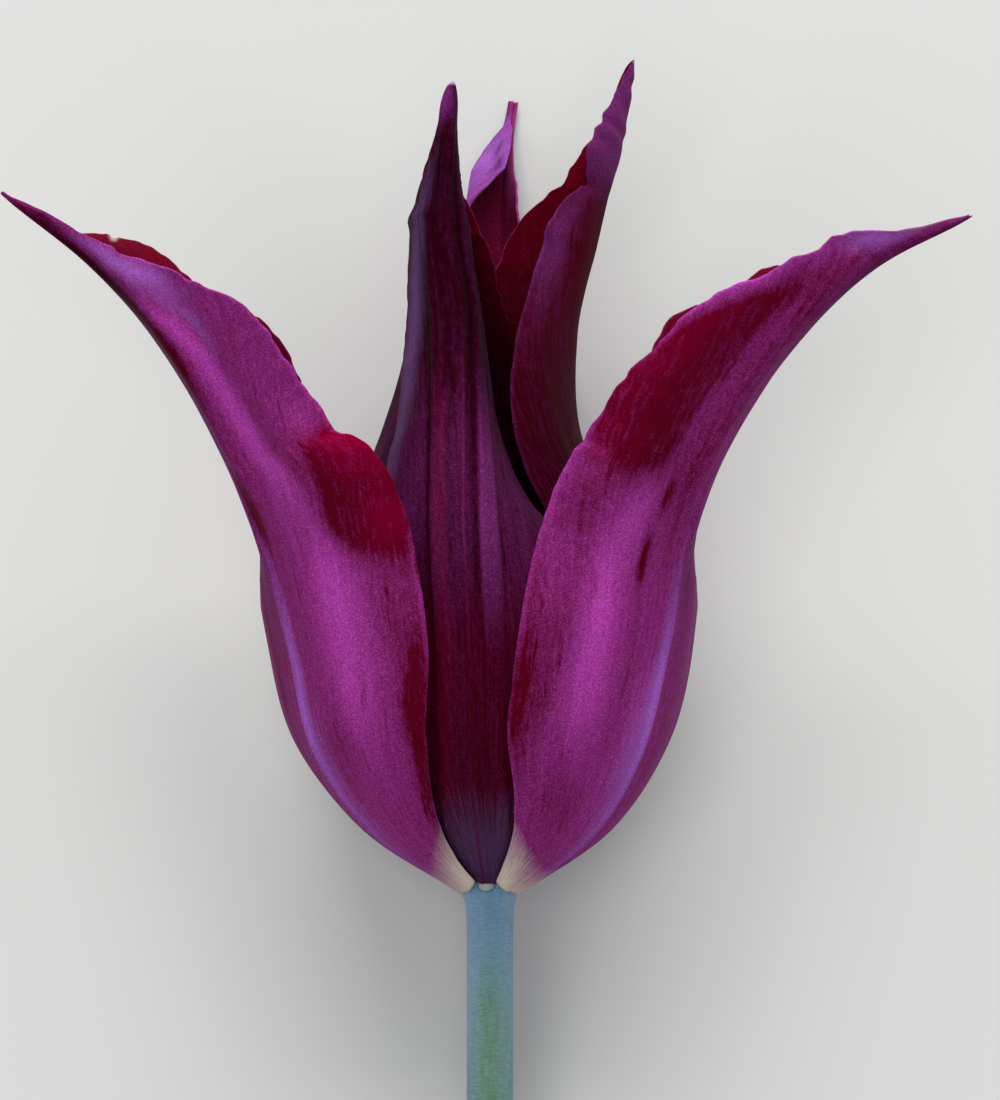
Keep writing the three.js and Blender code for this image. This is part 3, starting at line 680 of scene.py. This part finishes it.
OUTER_PETAL_SEED = 11
for seed, (node, petal) in enumerate((
    ("outer_petal_left", OUTER_LEFT),
    ("outer_petal_right", OUTER_RIGHT),
    ("outer_petal_under", OUTER_UNDER),
), OUTER_PETAL_SEED):
    petal_piece(node, petal, [outer_skin, inner_skin], seed)


# Inner petals
# Three narrower petals that grew a little higher and further in. Their outsides are darker, and
# each is folded like a tent along a midrib that lies between two grooves.

inner_petal_skin = petal_skin(
    "petal_dark_velvet", "#2c010c", "#4c0116", "#6e2564", "#5e4a78", "#9a489c", "#c4b4c0", 0.55, 0.0
)

FRONT_RIB = [-0.4, -0.8, -0.9, -0.8, -0.4, 0.3, 0.1, -0.3, 0]
LEFT_RIDGE = (-3.9, -2.0)
RIGHT_RIDGE = (1.8, 4.1)


def band(value, edges, soft):
    """1 between the two edges, falling to 0 over the soft distance on both sides."""
    low, high = edges
    return rise(low - soft, low + soft, value) * (1 - rise(high - soft, high + soft, value))


def front_relief(across, up, u):
    """A thin midrib, 0.25 exp(-(x / 0.28)^2) mm high, between two flat-topped ridges with a groove,
    0.3 exp(-((x - 1.2) / 0.5)^2), along the right one. Sines of the way along and across set rows of
    beads on the ridges, and all of it fades towards the foot and the tip."""
    beside = across - along(FRONT_RIB, u)
    fade = rise(0, 0.15, u) * (1 - rise(0.85, 1, u))
    rib = 0.25 * hump(beside, 0, 0.28)
    groove = -0.3 * hump(beside, 1.2, 0.5)
    ridges = band(beside, LEFT_RIDGE, 0.35) + band(beside, RIGHT_RIDGE, 0.35)
    beads = np.sin(up * 6.5 + 1.5 * np.sin(up * 1.3 + 2 * across)) * np.sin(beside * 5.5 + np.sin(up * 2.1))
    return (rib + groove + (0.4 + 0.1 * beads * rise(0.3, 0.45, u)) * ridges) * fade


def plain_relief(across, up, u):
    """The other two inner petals are round at the midrib, and their rolled tips pucker."""
    return 0.09 * np.sin(up * 1.7 + across * 0.9 + np.sin(up)) * rise(0.82, 0.9, u)


def front_colouring(u, v, across, up):
    """The front petal: violet bloom on the ridges beside the midrib, raised as a painted highlight
    where they are lit, nearly black painted shade in the grooves and over the upper part beside the
    left edge, crimson-black over the lower half with painted light shining through, slate at the foot
    and dusty lavender along the edges above."""
    beside = across - along(FRONT_RIB, u)
    middle = rise(0.34, 0.52, u) * (1 - rise(0.57, 0.72, u))
    # lit marks where the ridges get a painted highlight.
    lit = middle + 0.15 * rise(0.6, 0.7, u) * (1 - rise(0.9, 0.97, u))
    left_ridge = band(beside, LEFT_RIDGE, 0.2)
    right_ridge = band(beside, RIGHT_RIDGE, 0.2)
    rib = hump(beside, 0, 0.22)
    # lines are the grooves beside the midrib and left of the left ridge, darkened with painted shade.
    lines = hump(beside, 1.35, 0.35) * (1 - 0.65 * middle) + 0.8 * hump(beside, -4.3, 0.25)
    bare = rise(0.05, 0.18, u) * (1 - rise(0.36, 0.5, u))
    foot = 1 - rise(0.1, 0.2, u)
    return {
        "bloom_and_sheen": 0.04 + 0.2 * middle + lit * (0.05 * left_ridge + 0.55 * right_ridge)
        + 0.15 * lit * rib + 0.3 * foot * rib**3 - 0.5 * lines * lit,
        "lilac_and_sheen": -0.4 * foot * rib**3,
        "cream": rise(0.994, 1, u),
        "shade": 0.05 + 0.4 * np.clip(lines, 0, 1) * rise(0.36, 0.5, u)
        + 0.3 * rise(0.64, 0.74, u) * (1 - rise(0.9, 0.96, u)) * rise(-0.7, -0.5, v),
        "glow": bare * (0.65 + 0.35 * rib + 0.3 * left_ridge) + lit * (left_ridge + rib)
        + 0.4 * foot * rib**3,
    }


INNER_TOP = {
    "relief": front_relief,
    "wavy": 0.35,
    "around": -94,
    "out": [3.9, 12.6, 19.4, 22.8, 23.4, 20, 15.5, 13, 12.5],
    "up": [0.9, 8.4, 18, 30, 43, 55.5, 68, 81, 96],
    "side": [0, 0, 0, 0, -1, -2.1, -2.5, -4, -3.5],
    "twist": [0, 0, 0, 0, -5, -10, -12, -12, -12],
    "left": {
        "width": [3, 9.2, 14.5, 17.5, 17, 14, 11, 7.8, 1],
        "fold": [0, 0, 2, 5, 14, 38, 46, 46, 30],
        "bend": [42, 42, 46, 46, 46, 46, 42, 36, 20],
        "trim": [
            (0.86, 0), (0.872, 0.5), (0.885, -0.9), (0.9, -1.4), (0.92, -1.9), (0.94, -1.8),
            (0.96, -1.4), (0.98, -0.5), (1, 0.3),
        ],
        "turn": [(0.66, 0), (0.72, -3.5), (0.8, -3.5), (0.86, 0)],
    },
    "right": {
        "width": [3, 9.2, 14.5, 17.5, 17, 14, 10.5, 8, 0.8],
        "fold": [0, 0, 2, 8, 25, 42, 50, 50, 30],
        "bend": [42, 42, 46, 46, 46, 46, 42, 36, 20],
        "trim": [
            (0.87, 0), (0.9, -0.9), (0.92, -1.6), (0.94, -1.8), (0.96, -1.3), (0.98, -0.5), (1, 0.3),
        ],
        "turn": [(0.54, 0), (0.62, -1), (0.7, -1), (0.78, 0), (0.86, 0), (0.9, 12), (1, 15)],
    },
    "outside": {
        "bloom_and_sheen": [
            (0.5, 0.45, 0.1, 0.15, 0.15), (0.985, -0.6, 0.02, 0.6, 1.2), (0.45, -0.6, 0.1, 0.15, 0.25),
            (0.9, 0.5, 0.08, 0.3, 0.25), (0.68, -0.85, 0.12, 0.2, 0.6), (0.8, -0.65, 0.1, 0.15, 0.4),
        ],
        "lilac_and_sheen": [
            (0.66, -0.8, 0.12, 0.16, 0.5), (0.07, 0.0, 0.11, 1.2, 0.48), (0.8, -0.65, 0.12, 0.2, 0.6),
            (0.87, -0.45, 0.06, 0.15, 0.5), (0.76, 0.6, 0.12, 0.15, 0.4), (0.6, 0.9, 0.1, 0.12, 0.3),
        ],
        "shade": [(0.935, -0.3, 0.03, 0.3, 0.3)],
    },
    "colouring": front_colouring,
}


def cream_ends(u, up):
    """The pale foot of an inner petal, 4 mm high, and the pale point of its tip."""
    return 1 - rise(1, 4, up) + rise(0.992, 1, u)


# The petal behind at the right is crimson-black over its near half, with painted light shining
# through it and a little painted sheen along its near margin, and has a magenta tip.
INNER_RIGHT = {
    "around": 27.5,
    "out": [3.9, 12.6, 19, 22.2, 20.8, 11.8, 11, 14.2, 17.6, 19.7],
    "up": [1.7, 8.4, 18, 30, 42.5, 53, 66, 78.5, 90, 100],
    "left": {
        "width": [3, 9.2, 14.5, 18, 19, 18, 14.5, 11, 4.5, 0.8],
        "fold": [0, 0, 2, 5, 12, 25, 35, 40, 40, 40],
        "bend": [42, 42, 46, 46, 44, 50, 50, 45, 30, 30],
        "trim": [
            (0.5, 0), (0.6, 0.7), (0.625, 0.3), (0.65, -0.5), (0.675, -0.95), (0.7, -1.5),
            (0.725, -1.6), (0.75, -0.7), (0.79, -0.3), (0.8, -0.7), (0.81, -1.5), (0.815, -2),
            (0.82, -3.5), (0.83, -1.9), (0.84, -0.4), (0.85, 1.3), (0.862, 2.5), (0.872, 2.1),
            (0.885, 3.2), (0.897, 2.4), (0.91, 2.9), (0.925, 1.8), (0.94, 1.8), (0.955, 0.9),
            (0.97, 0.8), (1, 0),
        ],
    },
    "right": {
        "width": [3, 9.2, 14.5, 17.5, 17, 16, 14, 11, 4, 0.8],
        "fold": [0, 0, 2, 5, 8, 10, 15, 20, 30, 40],
        "bend": [42, 42, 46, 44, 40, 35, 35, 35, 30, 30],
        "trim": [
            (0.75, 0), (0.775, -0.5), (0.8, -1.1), (0.825, -1.6), (0.85, -1), (0.875, -0.5),
            (0.9, -0.6), (0.925, -0.2), (1, 0),
        ],
    },
    "inside": {"bloom_and_sheen": [(0.8, 0, 0.3, 2, -0.15)], "glow": [(0.85, 1, 0.1, 0.5, -0.25)]},
    "relief": plain_relief,
    "outside": {
        "bloom_and_sheen": [(0.75, -0.85, 0.06, 0.2, 0.8)],
        "lilac_and_sheen": [(0.95, -0.1, 0.06, 0.4, 0.08), (0.73, -1.0, 0.09, 0.04, 0.2)],
        "glow": [(0.75, -0.7, 0.08, 0.5, 0.9)],
    },
    "colouring": lambda u, v, across, up: {
        "bloom_and_sheen": 1.25 * rise(0.8, 0.88, u) + 0.2 * rise(0.96, 1, -v) * rise(0.5, 0.6, u),
        "cream": cream_ends(u, up), "shade": 0.05, "glow": 0.35 * rise(0.45, 0.6, u),
    },
}

# The petal behind at the left has a thin bloom, a little more of it towards the tip. Painted shade
# darkens its inside where it shows beside the front petal.
INNER_LEFT = {
    "around": 146.5,
    "out": [3.9, 12.6, 19.4, 22.8, 22, 15.5, 11.3, 9, 7.5],
    "up": [1.7, 8.4, 18, 30, 42, 53, 65, 77, 89],
    "left": {
        "width": [3, 9.2, 14.5, 18, 18, 17, 14.5, 9, 0.8],
        "fold": [0, 0, 2, 5, 14, 28, 34, 38, 40],
        "bend": [42, 42, 46, 46, 48, 48, 42, 40, 30],
        "trim": [
            (0.7, 0), (0.76, -0.6), (0.79, -1.1), (0.82, -1.4), (0.85, -0.7), (0.88, -0.5),
            (0.91, -0.8), (0.94, -1), (0.97, 0),
        ],
    },
    "right": {
        "width": [3, 9.2, 14.5, 17.5, 17, 14.5, 12, 8, 0.8],
        "fold": [0, 0, 2, 5, 14, 35, 45, 45, 40],
        "bend": [42, 42, 46, 46, 46, 50, 50, 45, 30],
    },
    "inside": {
        "shade": [(0.8, -0.7, 0.15, 0.7, 0.5), (0.66, -0.9, 0.1, 0.5, 0.4)],
        "glow": [(0.85, -0.7, 0.2, 0.7, -0.35)], "bloom_and_sheen": [(0.7, -1, 0.12, 0.3, -0.4)],
        "lilac_and_sheen": [(0.7, -1, 0.12, 0.3, -0.5)],
    },
    "relief": plain_relief,
    "outside": {
        "lilac_and_sheen": [(0.95, 0.0, 0.06, 0.8, 0.3)],
    },
    "colouring": lambda u, v, across, up: {
        "bloom_and_sheen": 0.2 + 0.3 * rise(0.8, 0.9, u), "cream": cream_ends(u, up), "shade": 0.1,
    },
}


INNER_PETAL_SEED = 14
for seed, (node, petal) in enumerate((
    ("inner_petal_top", INNER_TOP),
    ("inner_petal_right", INNER_RIGHT),
    ("inner_petal_left", INNER_LEFT),
), INNER_PETAL_SEED):
    petal_piece(node, petal, [inner_petal_skin, inner_skin], seed)


# Stem
# A round juicy stalk under a blue-grey wax bloom, cut with a knife above its top leaf. It grew
# wider at the top into the receptacle that carries the petals, the stamens and the pistil.

STEM_LENGTH = 200.0
STEM_END_RADIUS = 2.95
RECEPTACLE_UP = [-10, -5, -3, -1.8, -1.1, -0.6, -0.1, 0.5, 1.1, 1.7, 2.3, 2.9]
RECEPTACLE_RADIUS = [2.8, 2.82, 2.88, 3.02, 3.25, 3.45, 3.48, 3.42, 3.4, 3.4, 3.4, 3.0]
KNOB_AT = math.radians(-98)
KNOB_HALF_TURN = 0.27
KNOB_UP = 0.5
KNOB_HALF_LENGTH = 0.7
KNOB_HEIGHT = 0.4
STEM_DROP = STEM_LENGTH * math.tan(LEAN) - SURFACE_AT_BASE + STEM_END_RADIUS / math.cos(LEAN)
CUT_SLANT = 0.35
STEM_SIDES = 120
STEM_RINGS = 120
RECEPTACLE_RINGS = 110
END_RINGS = 14
INNERMOST_RING = 0.05


def round_turns(count):
    """The turns, in radians, of so many points spaced evenly round a ring."""
    return np.linspace(0, 2 * math.pi, count, endpoint=False)


def stem_rings(up, radius, slant):
    """Rings round the curved axis y = -drop (up / length)^2: each point is the centre plus radius
    times cos along x and sin across the axis, pushed along the axis by the slant of the cut. A small
    knob, 0.4 exp(-d^4) high at the distance d in its own radii, stands below the front petal's foot."""
    turn = round_turns(STEM_SIDES)
    centre = np.stack([0 * up, -STEM_DROP * (up / STEM_LENGTH) ** 2, up], -1)
    tangent = unit(np.stack([0 * up, -2 * STEM_DROP * up / STEM_LENGTH**2, 1 + 0 * up], -1))
    right = np.array([1.0, 0, 0])
    back = np.cross(tangent, right)
    from_knob = np.angle(np.exp(1j * (turn - KNOB_AT)))
    knob_distance = np.hypot(from_knob / KNOB_HALF_TURN, (up[:, None] - KNOB_UP) / KNOB_HALF_LENGTH)
    radius = (radius[:, None] + KNOB_HEIGHT * np.exp(-(knob_distance**4)))[..., None]
    return (
        centre[:, None]
        + radius * np.cos(turn)[None, :, None] * right
        + radius * np.sin(turn)[None, :, None] * back[:, None]
        + radius * slant[:, None, None] * np.sin(turn)[None, :, None] * tangent[:, None]
    ), knob_distance


def tube(rings):
    """Rings of points joined to a closed skin: four-cornered faces between neighbouring rings, and
    three-cornered ones from the first and the last ring to a point at its middle."""
    count, sides = rings.shape[:2]
    place = np.arange(count * sides).reshape(count, sides)
    beside = np.roll(place, -1, 1)
    quads = np.stack([place[:-1], beside[:-1], beside[1:], place[1:]], -1).reshape(-1, 4)
    middles = np.full((2, sides), count * sides) + np.array([[0], [1]])
    start = np.stack([beside[0], place[0], middles[0]], -1)
    end = np.stack([place[-1], beside[-1], middles[1]], -1)
    points = np.concatenate([rings.reshape(-1, 3), rings[[0, -1]].mean(1)])
    return points, quads.tolist() + start.tolist() + end.tolist()


def with_ends(values):
    """One value for each point of a ring grid, followed by those of the two middles."""
    return np.concatenate([values.ravel(), values[[0, -1]].mean(1)])


def stem_skin():
    """The skin of a living stalk: smooth green tissue under a matt blue-grey waxy coat, thickest at the
    top. Towards the left and right sides it is painted lighter as a sheen. The coat lies in faint
    lines along the stalk and in fine ripples across it."""
    material, tree = new_material("stem_waxy_skin")
    place = add_node(tree, "TexCoord", {}).outputs["Object"]
    marks = {
        key: add_node(tree, "Attribute", {}, attribute_name=key).outputs["Fac"]
        for key in ("side", "waxy", "pale", "rim")
    }
    patterns = []
    for wide, long, detail in ((0.5, 14, 3.0), (0.9, 0.22, 2.0), (0.3, 0.3, 2.0)):
        drawn_out = add_node(tree, "Mapping", {"Vector": place, "Scale": (1 / wide, 1 / long, 1 / wide)})
        patterns.append(add_node(
            tree, "TexNoise", {"Vector": drawn_out, "Scale": 1 / MM, "Detail": detail}
        ))
    lines, ripples_across, grain = patterns
    # The lighter tone follows the side mark, a painted sheen towards the left and right, plus the real
    # faint lines and ripples of the wax.
    wax_and_sheen = marks["side"]
    for pattern, share in ((lines, 0.5), (ripples_across, 0.5)):
        wax_and_sheen = add_node(tree, "Math", {0: pattern, 1: share, 2: wax_and_sheen}, operation="MULTIPLY_ADD")
    wax_and_sheen = add_node(tree, "MapRange", {"Value": wax_and_sheen, "From Min": 0.42, "From Max": 1.45})
    colour = paint("#55775c")
    # rim paints shade in a ring round the knob.
    for factor, tone in (
        (marks["waxy"], "#5f88a6"), (wax_and_sheen, "#84a0b6"), (marks["pale"], "#a9ab9c"), (marks["rim"], "#2c3a2c"),
    ):
        colour = add_node(
            tree, "Mix", {MIX_FACTOR: factor, MIX_FROM: colour, MIX_TO: paint(tone)}, data_type="RGBA"
        )
    light_and_dark = add_node(
        tree, "MapRange", {"Value": ripples_across, "To Min": 0.85, "To Max": 1.15}
    )
    colour = add_node(tree, "VectorMath", {0: colour, 3: light_and_dark}, operation="SCALE")
    height = lines
    for pattern, share in ((grain, 0.4), (ripples_across, 0.7)):
        height = add_node(tree, "Math", {0: pattern, 1: share, 2: height}, operation="MULTIPLY_ADD")
    return finish_material(material, height, 0.5, 0.08, {
        "Base Color": colour, "Roughness": 0.6, "IOR": 1.4, "Specular IOR Level": 0.2,
        "Sheen Weight": 0.3, "Sheen Roughness": 0.3, "Sheen Tint": paint("#b8c8e8"),
    })


def stem_cut():
    """The face that the knife left: wet pale pith, a ring of darker green strands that carried the
    water, and the green of the skin round the edge."""
    material, tree = new_material("stem_wet_cut")
    place = add_node(tree, "TexCoord", {}).outputs["Object"]
    share = add_node(tree, "Attribute", {}, attribute_name="from_axis").outputs["Fac"]
    cords = add_node(tree, "TexVoronoi", {"Vector": place, "Scale": 1 / (0.75 * MM)})
    strands, outer_part, rim = (
        add_node(tree, "MapRange", dict(zip(RAMP, (pattern, *ends))))
        for pattern, *ends in (
            (cords, 0.18, 0.3, 1.0, 0.0), (share, 0.35, 0.6, 0.0, 1.0), (share, 0.86, 0.97, 0.0, 1.0),
        )
    )
    strands = add_node(tree, "Math", {0: strands, 1: outer_part}, operation="MULTIPLY")
    colour = paint("#bccb96")
    for factor, tone in ((strands, "#7c9a55"), (rim, "#5c8258")):
        colour = add_node(
            tree, "Mix", {MIX_FACTOR: factor, MIX_FROM: colour, MIX_TO: paint(tone)}, data_type="RGBA"
        )
    grain = add_node(tree, "TexNoise", {"Vector": place, "Scale": 1 / (0.2 * MM), "Detail": 2.0})
    finish = {"Base Color": colour, "Roughness": 0.35, "IOR": 1.37}
    return finish_material(material, grain, 0.5, 0.08, finish)


stem_share = np.linspace(0, 1, STEM_RINGS, endpoint=False)
stem_up = -STEM_LENGTH + (STEM_LENGTH + RECEPTACLE_UP[0]) * stem_share
stem_radius = STEM_END_RADIUS + (RECEPTACLE_RADIUS[0] - STEM_END_RADIUS) * stem_share
receptacle_share = np.linspace(0, 1, RECEPTACLE_RINGS)
closing_share = np.linspace(1, INNERMOST_RING, END_RINGS)[1:]
ring_up = np.concatenate([
    np.full(END_RINGS - 1, -STEM_LENGTH), stem_up, along(RECEPTACLE_UP, receptacle_share),
    np.full(END_RINGS - 1, RECEPTACLE_UP[-1]),
])
ring_radius = np.concatenate([
    STEM_END_RADIUS * closing_share[::-1], stem_radius, along(RECEPTACLE_RADIUS, receptacle_share),
    RECEPTACLE_RADIUS[-1] * closing_share,
])
ring_slant = np.where(ring_up <= -STEM_LENGTH, CUT_SLANT, 0)
rings, knob_distance = stem_rings(ring_up, ring_radius, ring_slant)
stem_points, stem_faces = tube(laid(rings))
cut_quads = (END_RINGS - 1) * STEM_SIDES
quad_count = (len(ring_up) - 1) * STEM_SIDES
stem_slots = np.zeros(len(stem_faces), int)
stem_slots[:cut_quads] = 1
stem_slots[quad_count:quad_count + STEM_SIDES] = 1
each_point = np.ones((len(ring_up), STEM_SIDES))
turns = round_turns(STEM_SIDES)
stem = mesh_object(
    "stem_visual", stem_points, stem_faces, [stem_skin(), stem_cut()],
    {
        # side: a painted sheen, lighter towards the left and right and stronger near the top.
        "side": with_ends(
            np.abs(np.cos(turns)) ** 1.5 * (0.4 + 0.45 * rise(-30, -8, ring_up))[:, None] * each_point
        ),
        "waxy": with_ends(0.9 * rise(-17, -1, ring_up)[:, None] * each_point),
        "pale": with_ends(np.exp(-(knob_distance**4))),
        # rim: painted shade round the knob.
        "rim": with_ends(0.7 * hump(knob_distance, 1.15, 0.14)),
        "from_axis": with_ends((ring_radius / STEM_END_RADIUS)[:, None] * each_point),
    },
    stem_slots,
)
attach(stem, "root")
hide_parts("stem")


# Pistil
# A fleshy three-sided seed pod of pale green tissue that grew from the middle of the receptacle. On
# top sits the stigma, three folded cream lobes with a sticky, finely warty surface.

PISTIL_UP = [PISTIL_FOOT_UP, 4.5, 8, 13, 20, 25.5, 28, 30, 31.5, 32.6, 32.8, 32.7]
PISTIL_RADIUS = [PISTIL_FOOT_RADIUS, 1.7, 2.8, 3.3, 3.3, 2.8, 2.4, 2.9, 3.2, 2.6, 1.2, 0.3]
PISTIL_LOBES = [0, 0.04, 0.08, 0.1, 0.1, 0.12, 0.2, 0.35, 0.4, 0.4, 0.3, 0]
PISTIL_RINGS = 180
PISTIL_SIDES = 144


def pistil_rings():
    """Rings of reach = radius (1 + lobes cos 3a) at the turn a. Each lobe of the stigma is split by a
    groove 0.5 exp((cos 3a - 1) / 0.05) deep and covered with warts 0.06 sin 36a sin 9up high, and a
    seam 0.2 exp(-(1 + cos 3a) / 0.02) deep runs down the middle of each side of the pod."""
    share = np.linspace(0, 1, PISTIL_RINGS)
    a = round_turns(PISTIL_SIDES)
    up, radius, lobes = (
        along(values, share)[:, None] for values in (PISTIL_UP, PISTIL_RADIUS, PISTIL_LOBES)
    )
    stigma = rise(28.3, 30, up)
    inner_end = 1 - rise(0.93, 1, share)[:, None]
    groove = 0.5 * stigma * np.exp((np.cos(3 * a) - 1) / 0.05)
    seam = 0.2 * (1 - stigma) * rise(5, 10, up) * np.exp(-(1 + np.cos(3 * a)) / 0.02)
    warts = 0.06 * stigma * np.sin(36 * a) * np.sin(9 * up)
    reach = radius * (1 + lobes * np.cos(3 * a)) - (groove + seam - warts) * inner_end
    return np.stack([reach * np.cos(a), reach * np.sin(a), up + 0 * reach], -1), stigma + 0 * reach


def soft_tissue(name, mark, tones, grain_size, roughness):
    """Moist living tissue with a fine grain, in one tone below and in another where the named mark
    is 1, speckled with a third."""
    material, tree = new_material(name)
    place = add_node(tree, "TexCoord", {}).outputs["Object"]
    here = add_node(tree, "Attribute", {}, attribute_name=mark).outputs["Fac"]
    grain = add_node(tree, "TexNoise", {"Vector": place, "Scale": 1 / (grain_size * MM), "Detail": 2.0})
    speckle = add_node(
        tree, "MapRange", {"Value": grain, "From Min": 0.45, "From Max": 0.75, "To Max": 0.6}
    )
    colour = paint(tones[0])
    for factor, tone in ((here, tones[1]), (speckle, tones[2])):
        colour = add_node(
            tree, "Mix", {MIX_FACTOR: factor, MIX_FROM: colour, MIX_TO: paint(tone)}, data_type="RGBA"
        )
    return finish_material(material, grain, 0.5, 0.1, {
        "Base Color": colour, "Roughness": roughness, "IOR": 1.4,
        "Subsurface Weight": 0.1, "Subsurface Radius": (1.0, 0.8, 0.4), "Subsurface Scale": 0.5 * MM,
    })


rings, stigma = pistil_rings()
pistil_points, pistil_faces = tube(laid(rings))
pistil = mesh_object(
    "pistil_visual", pistil_points, pistil_faces,
    [soft_tissue("pistil_green_flesh", "stigma", ("#8fa866", "#d8cfa0", "#a9b97c"), 0.35, 0.45)],
    {"stigma": with_ends(stigma)},
)
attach(pistil, "root")
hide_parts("pistil")


# Stamens
# Six stalks of pale tissue round the pistil. Each carries an anther, two long purple-black pouches
# side by side that are full of powdery pollen, balanced on the stalk's narrow tip.

STAMEN_OUT = [2.3, 3.3, 4.7, 5.7, 6.1, 6.3, 6.7, 7.5, 8.2, 8.5]
STAMEN_UP = [3.2, 6, 10, 14, 15.6, 16.4, 18, 23, 29, 32.5]
STAMEN_HALF_WIDTH = [0.75, 0.85, 0.7, 0.5, 0.35, 1.2, 1.6, 1.6, 1.3, 0.6]
STAMEN_HALF_DEPTH = [0.5, 0.5, 0.45, 0.45, 0.35, 0.9, 1.2, 1.2, 1, 0.5]
STAMEN_RINGS = 120
STAMEN_SIDES = 56
STAMEN_COUNT = 6
FIRST_STAMEN_AT = -94


def stamen_rings(around):
    """Flattened rings that lean outwards as they rise: out + depth cos a outwards and width sin a
    sideways. On the anther the depth is halved by 0.5 exp(-(sin a / 0.3)^2), a groove between the two
    pouches in front and behind, and pollen stands 0.05 sin 9a sin(5 up + 2 sin 3a) high on it."""
    outward, sideways = directions(around)
    share = np.linspace(0, 1, STAMEN_RINGS)
    a = round_turns(STAMEN_SIDES)
    out, up, wide, deep = (
        along(values, share)[:, None]
        for values in (STAMEN_OUT, STAMEN_UP, STAMEN_HALF_WIDTH, STAMEN_HALF_DEPTH)
    )
    anther = rise(15.8, 16.8, up)
    pollen = 1 + 0.05 * anther * np.sin(9 * a) * np.sin(5 * up + 2 * np.sin(3 * a))
    groove = 1 - 0.5 * anther * hump(np.sin(a), 0, 0.3)
    outwards = out + deep * np.cos(a) * groove * pollen
    across = wide * np.sin(a) * pollen
    points = outwards[..., None] * outward + across[..., None] * sideways
    return points + (up + 0 * across)[..., None] * np.array([0, 0, 1]), anther + 0 * across


stamen_tissue = soft_tissue("stamen_powdery", "anther", ("#b4bb8c", "#22122a", "#5a3d58"), 0.16, 0.75)
for k in range(STAMEN_COUNT):
    node = f"stamen_{k + 1}"
    rings, anther = stamen_rings(math.radians(FIRST_STAMEN_AT + 360 * k / STAMEN_COUNT))
    stamen_points, stamen_faces = tube(laid(rings))
    stamen = mesh_object(
        node + "_visual", stamen_points, stamen_faces, [stamen_tissue], {"anther": with_ends(anther)}
    )
    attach(stamen, "root")
    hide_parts(node)


# Floor, light and camera
# A pale matt table top, soft light from beyond the flower's tips as from an open sky, and the
# viewer who stood level with the flower, so that the camera looks down on it where it lies.

FLOOR_SIZE = 8
ROOM_STRENGTH = 0.42
LIGHT_SIZE = 1.6
FLOWER_MIDDLE = Vector((0, 0.08, 0.02))

bpy.ops.mesh.primitive_plane_add(size=FLOOR_SIZE)
floor = bpy.context.object
floor.name = "floor"
floor_material, floor_tree = new_material("pale_table_top")
floor_shader = add_node(floor_tree, "BsdfPrincipled", {"Base Color": paint("#c9c9c5"), "Roughness": 0.9})
add_node(floor_tree, "OutputMaterial", {"Surface": floor_shader})
floor.data.materials.append(floor_material)

world = bpy.data.worlds.new("studio")
bpy.context.scene.world = world
world.use_nodes = True
room = world.node_tree.nodes["Background"].inputs
room["Color"].default_value = paint("#f2f5ff")
room["Strength"].default_value = ROOM_STRENGTH

for name, place, watts in (("sky", (0.0, 1.9, 1.3), 58), ("fill", (-0.4, -0.6, 2.6), 26)):
    light = bpy.data.objects.new(name, bpy.data.lights.new(name, "AREA"))
    light.data.size = LIGHT_SIZE
    light.data.energy = watts
    light.location = place
    light.rotation_mode = "QUATERNION"
    light.rotation_quaternion = (FLOWER_MIDDLE - Vector(place)).to_track_quat("-Z", "Y")
    bpy.context.scene.collection.objects.link(light)

VIEWER = (1.2, -900.0, 40.56)
PIXELS_HIGH = 1100
FOCAL_PIXELS = 7500
FARTHEST_SEEN = 20

camera = bpy.data.objects.new("camera", bpy.data.cameras.new("camera"))
camera.data.sensor_fit = "VERTICAL"
camera.data.sensor_height = 36
camera.data.lens = camera.data.sensor_height * FOCAL_PIXELS / PIXELS_HIGH
camera.data.clip_end = FARTHEST_SEEN
facing, upwards = lay_down(np.array([[0, 1.0, 0], [0, 0, 1.0]])) - lay_down(np.zeros(3))
rightwards = np.cross(facing, upwards)
turned = Matrix(np.stack([rightwards, upwards, -facing], 1).tolist()).to_4x4()
camera.matrix_world = Matrix.Translation(laid(np.array(VIEWER)).tolist()) @ turned
bpy.context.scene.collection.objects.link(camera)
bpy.context.scene.camera = camera
bpy.context.scene.view_settings.view_transform = "Standard"
